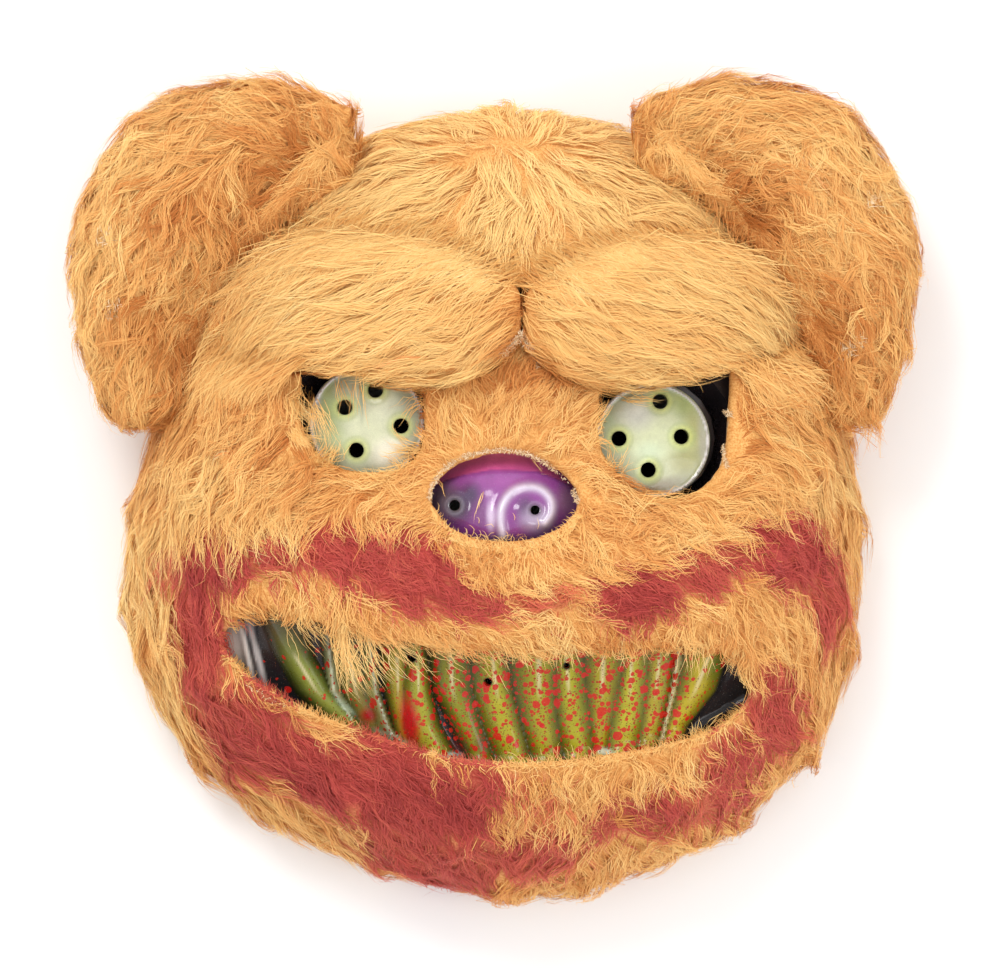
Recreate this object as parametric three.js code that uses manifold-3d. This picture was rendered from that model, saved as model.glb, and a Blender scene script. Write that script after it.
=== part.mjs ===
// A furry bear mask: a vacuum-formed face shell with raised eyes, nose and teeth, dressed in panels of long-pile fur,
// with two padded ears and an elastic head strap. Millimetres. +Z points out of the face and +Y to the crown, so the
// mask lies on its back rim, as it does on a table.

import * as THREE from "three";
import { mergeVertices } from "three/addons/utils/BufferGeometryUtils.js";
import { ParametricGeometry } from "three/addons/geometries/ParametricGeometry.js";
import Module from "manifold-3d";

// Head, over the fur
const headWidth = 246;
const headHeight = 264;
const headDepth = 88; // rim to the top of the plain dome, without brows and muzzle
const domeFullness = 2.6; // exponent of the dome's profile: 2 is an ellipsoid, and more is squarer

// Walls and clearances
const furThickness = 7; // the woven backing with the dense part of its pile
const shellWall = 1.6;
const coverGap = 0.6; // between the shell and the fur over it
const fitGap = 0.3; // between other pieces that touch
const seamGap = 0.6; // between two fur panels where they are sewn together
const hemWidth = 6; // fur turned in under the shell's rim, past the shell's inner wall
const hemThickness = 2;

// Brow pads
const browPadding = 11; // how far the pads stand out over the eyes
const browSpread = 0.36; // from the seam between them to each pad's middle, as a share of the half width
const browReach = { across: 0.42, up: 0.26 }; // from a pad's middle to its edge, as shares
const browUp = 0.47;

// Eyes, raised discs in sunken sockets
const eyeRadius = 19.5;
const eyeBulge = 3.5; // of the disc's middle over its edge
const eyeRecess = 3; // the disc's edge below the shell's own surface
const socketRadius = 29;
const socketDepth = 11;
const sightHoleRadius = 2.6;
const sightHoleCircle = 10.8; // radius of the circle that the sight holes lie on
const sightHoles = 4;

// Nose
const noseWidth = 51;
const noseHeight = 32;
const noseDrop = 6.8; // its edge below the shell's own surface
const noseRise = 11.5; // its middle over its edge
const nostrilRadius = 5.5;
const nostrilRise = 3;
const nostrilHoleRadius = 2.3;

// Teeth
const mouthWidth = 176;
const mouthHeight = 50;
const toothTopDrop = 2; // a tooth's crest below the shell's own surface
const toothRise = 7; // a crest over the valley beside it
const breathHoleRadius = 1.6;

// Ears, half moons that stand out from a crease along the head
const earRadius = 54; // from the middle to the edge, without the locks
const earThickness = 42;
const earMiddleHeight = 40; // height of the ear's middle plane over the rim
const earTilt = 0.1; // fall of that plane per millimetre outwards
const creaseTurn = 124; // direction of the crease, from straight out
const creaseShift = 24; // from the ear's middle to the crease
const creaseDepth = 19; // of the crease under the roll round the ear's edge
const rollWidth = 26; // from the crease up to that roll

// Locks of fur
const lockWidth = 19;
const lockLift = 4.5; // height of a lock's back over the fur
const lockFlatness = 0.34; // its thickness as a share of its width
const lockRoot = 3; // depth that its base is sunk by
const lockSwing = 6; // most degrees that its tip turns round the middle, at the rim
const swingStep = 2.4; // change of that turn's phase from lock to lock, in radians
const lockReach = 0.85; // most of the way to the rim that it covers
const lockSlenderness = 0.75; // its width as a share of its length, where it is short

// Head strap
const strapWidth = 24;
const strapThickness = 1.2;
const strapHeight = 18; // of its middle towards the crown
const strapTab = 24; // how far up the shell's inner wall its ends reach
const strapSlope = 9; // the width in which it comes down from the hem to the table

// Facets
const spokes = 36;
const rings = 10;
const weld = 1e-3;
const smallestDetail = 0.1;

// Reach of the head's rim from its middle, every 15 degrees from the wearer's left, as a share of the half width and
// half height.
const rimReaches = [
  { turn: 0, reach: 0.995 },
  { turn: 15, reach: 1.0 },
  { turn: 30, reach: 1.01 },
  { turn: 45, reach: 1.02 },
  { turn: 60, reach: 1.03 },
  { turn: 75, reach: 1.015 },
  { turn: 90, reach: 1.0 },
  { turn: 105, reach: 0.995 },
  { turn: 120, reach: 0.98 },
  { turn: 135, reach: 0.965 },
  { turn: 150, reach: 0.945 },
  { turn: 165, reach: 0.94 },
  { turn: 180, reach: 0.965 },
  { turn: 195, reach: 1.03 },
  { turn: 210, reach: 1.045 },
  { turn: 225, reach: 1.02 },
  { turn: 240, reach: 0.99 },
  { turn: 255, reach: 0.98 },
  { turn: 270, reach: 1.0 },
  { turn: 285, reach: 1.01 },
  { turn: 300, reach: 1.037 },
  { turn: 315, reach: 1.065 },
  { turn: 330, reach: 1.075 },
  { turn: 345, reach: 1.03 },
];

// Reach of an ear's outline from its middle, every 15 degrees from straight out, as a share of the ear's radius.
const earReaches = [
  { turn: 0, reach: 0.57 },
  { turn: 15, reach: 0.56 },
  { turn: 30, reach: 0.57 },
  { turn: 45, reach: 0.60 },
  { turn: 60, reach: 0.67 },
  { turn: 75, reach: 0.78 },
  { turn: 90, reach: 0.90 },
  { turn: 105, reach: 1.00 },
  { turn: 120, reach: 1.15 },
  { turn: 135, reach: 1.35 },
  { turn: 150, reach: 1.46 },
  { turn: 165, reach: 1.20 },
  { turn: 180, reach: 0.85 },
  { turn: 195, reach: 0.72 },
  { turn: 210, reach: 0.72 },
  { turn: 225, reach: 0.74 },
  { turn: 240, reach: 0.79 },
  { turn: 255, reach: 0.96 },
  { turn: 270, reach: 1.18 },
  { turn: 285, reach: 1.22 },
  { turn: 300, reach: 0.98 },
  { turn: 315, reach: 0.77 },
  { turn: 330, reach: 0.66 },
  { turn: 345, reach: 0.61 },
];

// Swells and hollows of the face. Places and spreads are shares of the half width and half height, and the lift is a
// share of the depth.
const faceForms = [
  { name: "muzzle", across: 0.0, up: -0.24, wide: 0.6, tall: 0.26, lift: 0.16 },
  { name: "left lip", across: -0.4, up: -0.24, wide: 0.28, tall: 0.13, lift: 0.06 },
  { name: "right lip", across: 0.42, up: -0.2, wide: 0.28, tall: 0.13, lift: 0.06 },
  { name: "chin", across: -0.02, up: -0.68, wide: 0.5, tall: 0.15, lift: 0.1 },
  { name: "left cheek", across: -0.74, up: -0.14, wide: 0.18, tall: 0.3, lift: 0.07 },
  { name: "right cheek", across: 0.74, up: -0.1, wide: 0.18, tall: 0.3, lift: 0.07 },
  { name: "left brow", across: -0.36, up: 0.46, wide: 0.36, tall: 0.16, lift: 0.07 },
  { name: "right brow", across: 0.4, up: 0.46, wide: 0.36, tall: 0.16, lift: 0.07 },
  { name: "left eye", across: -0.34, up: 0.18, wide: 0.24, tall: 0.14, lift: -0.08 },
  { name: "right eye", across: 0.45, up: 0.16, wide: 0.24, tall: 0.14, lift: -0.08 },
];

// The seams over and under the brows, from the wearer's right to left, as shares of the half width and half height.
const browTop = [
  { across: -1.3, up: 0.78 },
  { across: -0.6, up: 0.7 },
  { across: -0.38, up: 0.68 },
  { across: -0.17, up: 0.655 },
  { across: -0.02, up: 0.6 },
  { across: 0.09, up: 0.535 },
  { across: 0.21, up: 0.61 },
  { across: 0.35, up: 0.655 },
  { across: 0.51, up: 0.675 },
  { across: 0.7, up: 0.66 },
  { across: 1.3, up: 0.62 },
];
const browBottom = [
  { across: -1.3, up: 0.42 },
  { across: -0.75, up: 0.37 },
  { across: -0.52, up: 0.335 },
  { across: -0.33, up: 0.3 },
  { across: -0.14, up: 0.3 },
  { across: 0.0, up: 0.34 },
  { across: 0.08, up: 0.4 },
  { across: 0.155, up: 0.335 },
  { across: 0.27, up: 0.295 },
  { across: 0.43, up: 0.3 },
  { across: 0.61, up: 0.335 },
  { across: 0.76, up: 0.39 },
  { across: 1.3, up: 0.47 },
];
const browSeam = 0.085; // where the two brows meet, as a share of the half width

// Middles of the openings, as shares of the half width and half height.
const eyeMiddles = [
  { side: "right", across: -0.333, up: 0.202, twist: 14 },
  { side: "left", across: 0.445, up: 0.166, twist: 8 },
];
const noseMiddle = { across: 0.033, up: 0.01 };
const mouthMiddle = { across: -0.018, up: -0.457 };

// Outlines of the openings in the fur, round their middles. The eyes' are shares of the eye's radius, and the nose's
// and mouth's of their half width and half height.
const eyeOutlines = {
  right: [
    { across: -1.03, up: 0.9 },
    { across: -1.16, up: 0.4 },
    { across: -1.05, up: -0.2 },
    { across: -0.6, up: -0.68 },
    { across: 0.1, up: -0.82 },
    { across: 0.75, up: -0.68 },
    { across: 0.98, up: -0.1 },
    { across: 0.9, up: 0.5 },
    { across: 0.8, up: 1.2 },
    { across: -0.9, up: 1.4 },
  ],
  left: [
    { across: -0.95, up: 0.6 },
    { across: -1.0, up: 0.1 },
    { across: -0.78, up: -0.5 },
    { across: -0.27, up: -0.92 },
    { across: 0.34, up: -1.04 },
    { across: 0.88, up: -0.75 },
    { across: 1.13, up: -0.3 },
    { across: 1.18, up: 0.4 },
    { across: 1.18, up: 1.3 },
    { across: -0.9, up: 1.4 },
  ],
};
const noseOutline = [
  { across: -0.94, up: 0.10 },
  { across: -0.75, up: 0.56 },
  { across: -0.37, up: 0.85 },
  { across: 0.03, up: 0.95 },
  { across: 0.48, up: 0.83 },
  { across: 0.81, up: 0.48 },
  { across: 0.97, up: 0.06 },
  { across: 0.85, up: -0.42 },
  { across: 0.48, up: -0.73 },
  { across: -0.04, up: -0.85 },
  { across: -0.56, up: -0.66 },
  { across: -0.85, up: -0.23 },
];
// Middles of the nostrils, as shares of the nose's half width and half height
const nostrils = [
  { across: -0.6, up: -0.17 },
  { across: 0.4, up: -0.24 },
];
const mouthOutline = [
  { across: -0.99, up: 0.6 },
  { across: -0.92, up: 0.9 },
  { across: -0.79, up: 1.0 },
  { across: -0.58, up: 0.8 },
  { across: -0.32, up: 0.6 },
  { across: -0.01, up: 0.46 },
  { across: 0.29, up: 0.46 },
  { across: 0.59, up: 0.48 },
  { across: 0.82, up: 0.52 },
  { across: 0.95, up: 0.32 },
  { across: 1.0, up: -0.12 },
  { across: 0.91, up: -0.5 },
  { across: 0.7, up: -0.75 },
  { across: 0.44, up: -0.9 },
  { across: 0.13, up: -1.0 },
  { across: -0.17, up: -0.88 },
  { across: -0.44, up: -0.62 },
  { across: -0.7, up: -0.24 },
  { across: -0.89, up: 0.14 },
];

// Valleys beside the teeth, at the mouth's middle height, as shares of the mouth's half width, and how far each leans
// sideways from the top of the teeth to the bottom, as a share of the mouth's height.
const toothValleys = [
  { across: -0.84, lean: 0.75 },
  { across: -0.66, lean: 0.5 },
  { across: -0.47, lean: 0.48 },
  { across: -0.31, lean: 0.42 },
  { across: -0.13, lean: 0.36 },
  { across: 0.16, lean: 0.36 },
  { across: 0.37, lean: 0.12 },
  { across: 0.52, lean: 0.0 },
  { across: 0.65, lean: -0.1 },
  { across: 0.78, lean: -0.25 },
  { across: 0.93, lean: -0.6 },
];
const toothBandReach = 1.15; // the band's height as a share of the mouth's, so that its edges lie under the lips
const breathHoles = [
  { across: -0.27, up: 0.37 },
  { across: 0.015, up: 0.06 },
  { across: 0.31, up: 0.29 },
];

// Rows of locks round the head and round an ear, by share of the way from the middle to the rim.
const lockRows = [
  { share: 0.28, count: 6, length: 34 },
  { share: 0.42, count: 9, length: 34 },
  { share: 0.57, count: 12, length: 34 },
  { share: 0.71, count: 15, length: 34 },
  { share: 0.84, count: 20, length: 34 },
];
const earLockRows = [
  { share: 0.3, count: 5, length: 26 },
  { share: 0.6, count: 11, length: 26 },
];

// Colours, from the photograph's fur, paint and plastic
const furColour = 0xdca25c;
const shellColour = 0x2b2728;
const eyeColour = 0xb9d3b0;
const noseColour = 0x8b3f8f;
const toothColour = 0x8aa02f;
const strapColour = 0x1c1c1e;

const halfWidth = headWidth / 2;
const halfHeight = headHeight / 2;
const shellInset = furThickness + coverGap; // the shell's outer face, in from the fur's outer face
const hollowInset = shellInset + shellWall;
const topOfAll = headDepth * 2;

const wasm = await Module();
wasm.setup();

// Turns a closed geometry into a solid that can be joined and cut.
function solidOf(geometry) {
  const bare = new THREE.BufferGeometry();
  bare.setAttribute("position", geometry.getAttribute("position"));
  bare.setIndex(geometry.getIndex());
  const welded = mergeVertices(bare, weld);
  const corners = welded.getIndex().array;
  const triangles = [];
  for (let i = 0; i < corners.length; i += 3) {
    const [a, b, c] = corners.slice(i, i + 3);
    if (a !== b && b !== c && c !== a) triangles.push(a, b, c);
  }
  return new wasm.Manifold(
    new wasm.Mesh({
      numProp: 3,
      vertProperties: welded.getAttribute("position").array,
      triVerts: new Uint32Array(triangles),
    }),
  );
}

// Turns a solid back into a flat-shaded geometry.
function geometryOf(solid) {
  const mesh = solid.getMesh();
  const indexed = new THREE.BufferGeometry();
  indexed.setAttribute("position", new THREE.BufferAttribute(mesh.vertProperties, 3));
  indexed.setIndex(new THREE.BufferAttribute(mesh.triVerts, 1));
  const flat = indexed.toNonIndexed();
  flat.computeVertexNormals();
  return flat;
}

// The largest body of a solid, without the snipped ends of locks that a cut leaves loose.
function mainBody(solid) {
  const bodies = solid.simplify(smallestDetail).decompose();
  return bodies.reduce((best, body) => (body.volume() > best.volume() ? body : best));
}

// An upright prism over an outline.
function prism(outline, low, high) {
  const geometry = new THREE.ExtrudeGeometry(new THREE.Shape(outline), { depth: high - low, bevelEnabled: false });
  geometry.translate(0, 0, low);
  return solidOf(geometry);
}

// A smooth value read from a table of evenly spaced turns, at an angle in degrees.
function reachAt(rows, turn) {
  const step = 360 / rows.length;
  const place = THREE.MathUtils.euclideanModulo(turn, 360) / step;
  const index = Math.floor(place);
  const t = place - index;
  const [a, b, c, d] = [-1, 0, 1, 2].map((shift) => rows[(index + shift + rows.length) % rows.length].reach);
  return b + 0.5 * t * (c - a + t * (2 * a - 5 * b + 4 * c - d + t * (3 * (b - c) + d - a)));
}

// A place on the face from shares of the head's half width and half height.
function onFace({ across, up }) {
  return new THREE.Vector2(across * halfWidth, up * halfHeight);
}

// A closed smooth outline round a middle.
function outlineRound(middle, rows, reachX, reachY) {
  const corners = rows.map((row) => new THREE.Vector3(middle.x + row.across * reachX, middle.y + row.up * reachY, 0));
  const curve = new THREE.CatmullRomCurve3(corners, true);
  return curve.getPoints(rows.length * 2).slice(0, -1).map((p) => new THREE.Vector2(p.x, p.y));
}

// A smooth seam across the head, moved up or down by a part of the seam's gap.
function seamLine(rows, shift) {
  const curve = new THREE.SplineCurve(rows.map((row) => onFace(row).add(new THREE.Vector2(0, shift))));
  return curve.getPoints(rows.length * 2);
}

// Swells and hollows of the face at a place.
function faceForm(x, y) {
  return faceForms.reduce((sum, form) => {
    const u = (x / halfWidth - form.across) / form.wide;
    const v = (y / halfHeight - form.up) / form.tall;
    return sum + form.lift * headDepth * Math.exp(-u * u - v * v);
  }, 0);
}

// The pads that stand out along the brows, higher towards their lower edges.
function browForm(x, y) {
  const side = x < browSeam * halfWidth ? -1 : 1;
  const u = (x / halfWidth - browSeam - side * browSpread) / browReach.across;
  const v = (y / halfHeight - browUp) / browReach.up;
  return browPadding * Math.sqrt(Math.max(0, 1 - u * u * u * u - v * v));
}

// How far out a place is, from 0 at the middle to 1 at the rim of a dome that is set in by an inset.
function ringAt(x, y, inset) {
  const turn = Math.atan2(y / halfHeight, x / halfWidth);
  const reach = reachAt(rimReaches, THREE.MathUtils.radToDeg(turn));
  return Math.hypot(x / (halfWidth * reach - inset), y / (halfHeight * reach - inset));
}

// Height of a dome over the rim's plane, at a place and an inset from the fur's outer face.
function heightAt(x, y, inset, padding = () => 0) {
  const ring = Math.min(1, ringAt(x, y, inset));
  const rise = (1 - ring ** domeFullness) ** (1 / domeFullness);
  const fade = 1 - ring ** 4;
  return (headDepth - inset) * rise + fade * (faceForm(x, y) + padding(x, y));
}

// A point of a dome, by its turn in degrees and its share of the way from the middle to the rim.
function domePoint(turn, share, inset, padding) {
  const reach = reachAt(rimReaches, turn);
  const angle = THREE.MathUtils.degToRad(turn);
  const ring = Math.sin((share * Math.PI) / 2);
  const x = Math.cos(angle) * ring * (halfWidth * reach - inset);
  const y = Math.sin(angle) * ring * (halfHeight * reach - inset);
  return new THREE.Vector3(x, y, share === 1 ? 0 : heightAt(x, y, inset, padding));
}

// A solid between two grids of points that lie over each other. Round grids run from a middle point to a rim, so
// they have no side edges to close.
function closedBetween(upper, lower, columns, rows, isRound) {
  const across = columns + 1;
  const offset = across * (rows + 1);
  const corners = [...upper.getAttribute("position").array, ...lower.getAttribute("position").array];
  const top = Array.from(upper.getIndex().array);
  const bottom = Array.from(lower.getIndex().array, (corner) => corner + offset);
  const sides = [];
  const wall = (a, b) => sides.push(a, a + offset, b, b, a + offset, b + offset);
  for (let i = 0; i < columns; i++) {
    wall(rows * across + i + 1, rows * across + i);
    if (!isRound) wall(i, i + 1);
  }
  for (let j = 0; j < rows && !isRound; j++) {
    wall((j + 1) * across, j * across);
    wall(j * across + columns, (j + 1) * across + columns);
  }
  const geometry = new THREE.BufferGeometry();
  geometry.setAttribute("position", new THREE.Float32BufferAttribute(corners, 3));
  geometry.setIndex([...top, ...bottom.reverse(), ...sides]);
  return solidOf(geometry);
}

// A grid of points over a round surface, which gives a point for a turn in degrees and a share from 0 at the middle
// to 1 at the rim.
function roundGrid(surface, turns, steps) {
  return new ParametricGeometry((u, v, target) => target.copy(surface(-u * 360, v)), turns, steps);
}

function roundWall(outer, inner, turns, steps) {
  return closedBetween(roundGrid(outer, turns, steps), roundGrid(inner, turns, steps), turns, steps, true);
}

// A dome from its outer inset down to a deeper inset, or down to a flat floor.
function domeWall(outerInset, innerInset, padding) {
  return roundWall(
    (turn, share) => domePoint(turn, share, outerInset, padding),
    (turn, share) => domePoint(turn, share, innerInset),
    spokes,
    rings,
  );
}

// A dome without its hollow, carried down past the rim's plane.
function filledDome(inset, padding) {
  const floor = -headDepth;
  return roundWall(
    (turn, share) => domePoint(turn, share, inset, padding),
    (turn, share) => domePoint(turn, share, inset).setZ(floor),
    spokes,
    rings,
  );
}

// The rim's outline at an inset.
function rimOutline(inset) {
  return Array.from({ length: spokes }, (_, i) => {
    const point = domePoint((i * 360) / spokes, 1, inset);
    return new THREE.Vector2(point.x, point.y);
  });
}

// The edge of the fur that is turned in under the shell's rim.
function hem() {
  const ring = prism(rimOutline(furThickness / 2), 0, hemThickness);
  return ring.subtract(prism(rimOutline(hollowInset + hemWidth), -1, hemThickness + 1));
}

// The place on a surface at a turn and share, with the directions towards its rim and out of it.
function surfaceFrame(surface, turn, share) {
  const step = 0.02;
  const point = surface(turn, share);
  const down = surface(turn, Math.min(1, share + step)).sub(surface(turn, share - step)).normalize();
  const round = surface(turn + 1, share).sub(surface(turn - 1, share)).normalize();
  return { point, down, out: new THREE.Vector3().crossVectors(down, round).normalize() };
}

// One lock of fur: a flattened cone whose spine follows the surface, arches over the pile and comes down to a point.
function lock(spine, length) {
  const width = Math.min(lockWidth, length * lockSlenderness);
  const geometry = new THREE.ConeGeometry(width / 2, length, 4, 2);
  geometry.translate(0, length / 2, 0);
  const position = geometry.getAttribute("position");
  for (let i = 0; i < position.count; i++) {
    const share = position.getY(i) / length;
    const { point, down, out } = spine(share);
    const side = new THREE.Vector3().crossVectors(down, out);
    const rise = lockLift * Math.sin(share * Math.PI * 0.85) - lockRoot * (1 - share);
    point.addScaledVector(side, position.getX(i)).addScaledVector(out, rise + position.getZ(i) * lockFlatness);
    position.setXYZ(i, point.x, point.y, point.z);
  }
  return solidOf(geometry);
}

// Locks in rings over a surface, each laid towards the rim and turned a little to either side.
function locksOver(surface, rows, allowed) {
  const found = [];
  rows.forEach(({ share, count, length }, row) => {
    for (let i = 0; i < count; i++) {
      const turn = ((i + (row % 2) / 2) * 360) / count;
      const toRim = surface(turn, 1).distanceTo(surface(turn, share));
      const reach = Math.min(length, toRim * lockReach);
      const swing = (lockSwing * Math.sin(i * swingStep + row)) / share;
      const spine = (t) => surfaceFrame(surface, turn + swing * t, share + ((1 - share) * reach * t) / toRim);
      const footprint = [0, 0.5, 1].flatMap((t) => {
        const { point, down, out } = spine(t);
        const half = new THREE.Vector3().crossVectors(down, out).multiplyScalar((lockWidth / 2) * (1 - t));
        return [point.clone().add(half), point.clone().sub(half)];
      });
      if (footprint.every(allowed)) found.push(lock(spine, reach));
    }
  });
  return found;
}

// Whether a point lies in an outline, seen from the front.
function within(outline, point) {
  let inside = false;
  outline.forEach((a, i) => {
    const b = outline[(i + 1) % outline.length];
    const crosses = a.y > point.y !== b.y > point.y;
    if (crosses && point.x < ((b.x - a.x) * (point.y - a.y)) / (b.y - a.y) + a.x) inside = !inside;
  });
  return inside;
}

// Ears. A point of an ear by its turn from straight out and its share of the way to the edge, on its front or back.
const earMiddles = { right: { across: -0.878, up: 0.667 }, left: { across: 0.895, up: 0.667 } };

function earPoint(name, turn, share, isFront) {
  const side = name === "left" ? 1 : -1;
  const middle = onFace(earMiddles[name]);
  const ring = Math.sin((share * Math.PI) / 2);
  const place = new THREE.Vector2(ring * earRadius * reachAt(earReaches, turn), 0);
  place.rotateAround(new THREE.Vector2(), THREE.MathUtils.degToRad(turn));
  const half = (earThickness / 2) * Math.sqrt(Math.max(0, 1 - ring ** 3));
  const fromCrease = place.clone().rotateAround(new THREE.Vector2(), THREE.MathUtils.degToRad(-creaseTurn));
  const roll = THREE.MathUtils.smoothstep(creaseShift - fromCrease.y, 0, rollWidth);
  const hollow = creaseDepth * (1 - roll) * (1 - ring ** 3);
  const z = earMiddleHeight - earTilt * place.x + (isFront ? half - hollow : -half);
  return new THREE.Vector3(middle.x + side * place.x, middle.y + place.y, z);
}

function earSolid(name, seat) {
  const turns = 20;
  const steps = 4;
  const mirror = name === "left" ? 1 : -1;
  const front = (turn, share) => earPoint(name, turn * mirror, share, true);
  const back = (turn, share) => earPoint(name, turn * mirror, share, false);
  const isClear = (point) => ringAt(point.x, point.y, 0) > 0.9;
  const locks = locksOver(front, earLockRows, isClear);
  return mainBody(wasm.Manifold.union([roundWall(front, back, turns, steps), ...locks]).subtract(seat));
}

// Fur panels, cut from the whole cover along its seams.
const far = 2 * headHeight;
const edgeLine = (up) => [new THREE.Vector2(-far, up), new THREE.Vector2(far, up)];

function regionBetween(lower, upper, left, right) {
  const outline = [...lower, ...upper.slice().reverse()];
  const strip = prism(outline, 0, topOfAll);
  const side = [
    new THREE.Vector2(left, -far),
    new THREE.Vector2(right, -far),
    new THREE.Vector2(right, far),
    new THREE.Vector2(left, far),
  ];
  return strip.intersect(prism(side, -1, topOfAll));
}

const eyes = eyeMiddles.map((eye) => ({ ...eye, middle: onFace(eye) }));
const eyeOpenings = eyes.map((eye) => outlineRound(eye.middle, eyeOutlines[eye.side], eyeRadius, eyeRadius));
const noseOpening = outlineRound(onFace(noseMiddle), noseOutline, noseWidth / 2, noseHeight / 2);
const mouthOpening = outlineRound(onFace(mouthMiddle), mouthOutline, mouthWidth / 2, mouthHeight / 2);
const openings = [...eyeOpenings, noseOpening, mouthOpening];
const earOutlines = Object.keys(earMiddles).map((name) =>
  Array.from({ length: spokes }, (_, i) => {
    const edge = earPoint(name, (i * 360) / spokes, 1, true);
    return new THREE.Vector2(edge.x, edge.y);
  }),
);

function furPanel(region, padding) {
  const surface = (turn, share) => domePoint(turn, share, 0, padding);
  const isClear = (point) => ![...openings, ...earOutlines].some((outline) => within(outline, point));
  const isOnPad = ({ x, y }) => !padding || padding(x, y) > browPadding / 4;
  const isHere = (point) => isClear(point) && isOnPad(point) && point.z > lockLift;
  const regionLocks = locksOver(surface, lockRows, isHere);
  const cover = wasm.Manifold.union([domeWall(0, furThickness, padding), hem(), ...regionLocks]);
  return cover.intersect(region);
}

function foreheadFur() {
  const region = regionBetween(seamLine(browTop, seamGap / 2), edgeLine(far), -far, far);
  return mainBody(furPanel(region));
}

function browFur(side) {
  const seam = browSeam * halfWidth;
  const [left, right] = side === "right" ? [-far, seam - seamGap / 2] : [seam + seamGap / 2, far];
  const region = regionBetween(seamLine(browBottom, seamGap / 2), seamLine(browTop, -seamGap / 2), left, right);
  return mainBody(furPanel(region, browForm));
}

function faceFur() {
  const region = regionBetween(edgeLine(-far), seamLine(browBottom, -seamGap / 2), -far, far);
  const cut = openings.map((outline) => prism(outline, hemThickness * 3, topOfAll));
  return mainBody(furPanel(region).subtract(wasm.Manifold.union(cut)));
}

// Face shell. Each raised part is a thin wall that fills a window in the dome, with its edge inside the dome's wall.
const patchOverlap = 2.5; // how far a raised part runs past the window that it fills
const edgeCover = 0.3; // wall left over and under a raised part's edge

// The dome that the shell is formed on, to read the height of its facets from.
const formMaterial = new THREE.MeshBasicMaterial({ side: THREE.DoubleSide });
const form = new THREE.Mesh(
  roundGrid((turn, share) => domePoint(turn, share, shellInset), spokes, rings),
  formMaterial,
);
const down = new THREE.Vector3(0, 0, -1);

// Height of a raised part's outer or inner face, from its lift over the dome.
function raisedHeight(x, y, lift, isEdge, isOuter) {
  const [hit] = new THREE.Raycaster(new THREE.Vector3(x, y, topOfAll), down).intersectObject(form);
  const base = hit ? hit.point.z : heightAt(x, y, shellInset);
  if (isEdge) return base - (isOuter ? edgeCover : shellWall - edgeCover);
  return base + lift - (isOuter ? 0 : shellWall);
}

// A raised part round a middle. Its surfaces are sampled at their own distances from the middle, as shares of its
// reach, from 0 to 1.
function raisedWall(middle, reachX, reachY, liftAt, sharesOf, turns) {
  const surface = (isOuter) => {
    const shares = sharesOf(isOuter);
    return (turn, step) => {
      const share = shares[Math.round(step * (shares.length - 1))];
      const angle = THREE.MathUtils.degToRad(turn);
      const x = Math.cos(angle) * share * reachX;
      const y = Math.sin(angle) * share * reachY;
      const z = raisedHeight(middle.x + x, middle.y + y, liftAt(x, y, isOuter), share === 1, isOuter);
      return new THREE.Vector3(middle.x + x, middle.y + y, z);
    };
  };
  return roundWall(surface(true), surface(false), turns, sharesOf(true).length - 1);
}

// A socket with a raised disc in it, as a lift over the dome.
function eyeEdge(isOuter) {
  return isOuter ? eyeRadius : eyeRadius - shellWall;
}

function eyeLift(x, y, isOuter) {
  const distance = Math.hypot(x, y);
  const edge = eyeEdge(isOuter);
  if (distance <= edge + weld) return eyeBulge * (1 - (distance / edge) ** 2) - eyeRecess;
  return -socketDepth * (1 - THREE.MathUtils.smoothstep(distance, edge + shellWall, socketRadius));
}

function eyeShares(isOuter) {
  const edge = eyeEdge(isOuter);
  const distances = [0, edge * 0.4, edge * 0.75, edge, edge + shellWall / 2, (edge + socketRadius) / 2, socketRadius];
  return distances.map((distance) => distance / socketRadius);
}

const noseReach = 0.625; // of the raised part round the nose, as a share of its width and height

function inNose({ across, up }) {
  return new THREE.Vector2((across * noseWidth) / 2, (up * noseHeight) / 2);
}

function noseLift(x, y) {
  const round = Math.hypot(x / (noseWidth / 2), y / (noseHeight / 2));
  const dome = noseRise * Math.sqrt(Math.max(0, 1 - round * round)) - noseDrop * Math.min(1, (1.25 - round) * 5);
  const bumps = nostrils.map((nostril) => inNose(nostril).distanceTo(new THREE.Vector2(x, y)) / nostrilRadius);
  return bumps.reduce((sum, distance) => sum + nostrilRise * Math.exp(-distance * distance), dome);
}

// A point of the band of teeth, by its share across and its height from -1 at the bottom to 1 at the top.
function toothPoint(across, height, isOuter) {
  const middle = onFace(mouthMiddle);
  const teeth = toothValleys.length - 1;
  const index = Math.min(teeth - 1, Math.floor(across * teeth));
  const share = across * teeth - index;
  const bow = 1 - 0.35 * (2 * across - 1) ** 2; // the band is lower at its ends
  const y = middle.y + height * bow * (mouthHeight / 2) * toothBandReach + mouthHeight * 0.16 * (2 * across - 1) ** 2;
  const valleyAt = ({ across: place, lean }) =>
    middle.x + (place * mouthWidth) / 2 - ((lean * mouthHeight) / 2) * height;
  const x = THREE.MathUtils.lerp(valleyAt(toothValleys[index]), valleyAt(toothValleys[index + 1]), share);
  const isEdge = Math.abs(height) === 1 || across === 0 || across === 1;
  const ridge = toothRise * (Math.sin(share * Math.PI) ** 0.7 - 1) * (1 - height ** 6) - toothTopDrop;
  return new THREE.Vector3(x, y, raisedHeight(x, y, ridge, isEdge, isOuter));
}

function toothBand() {
  const columns = (toothValleys.length - 1) * 4;
  const rows = 4;
  const grid = (isOuter) =>
    new ParametricGeometry(
      (u, v, target) => target.copy(toothPoint(Math.round(u * columns) / columns, 2 * v - 1, isOuter)),
      columns,
      rows,
    );
  return closedBetween(grid(true), grid(false), columns, rows, false);
}

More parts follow.
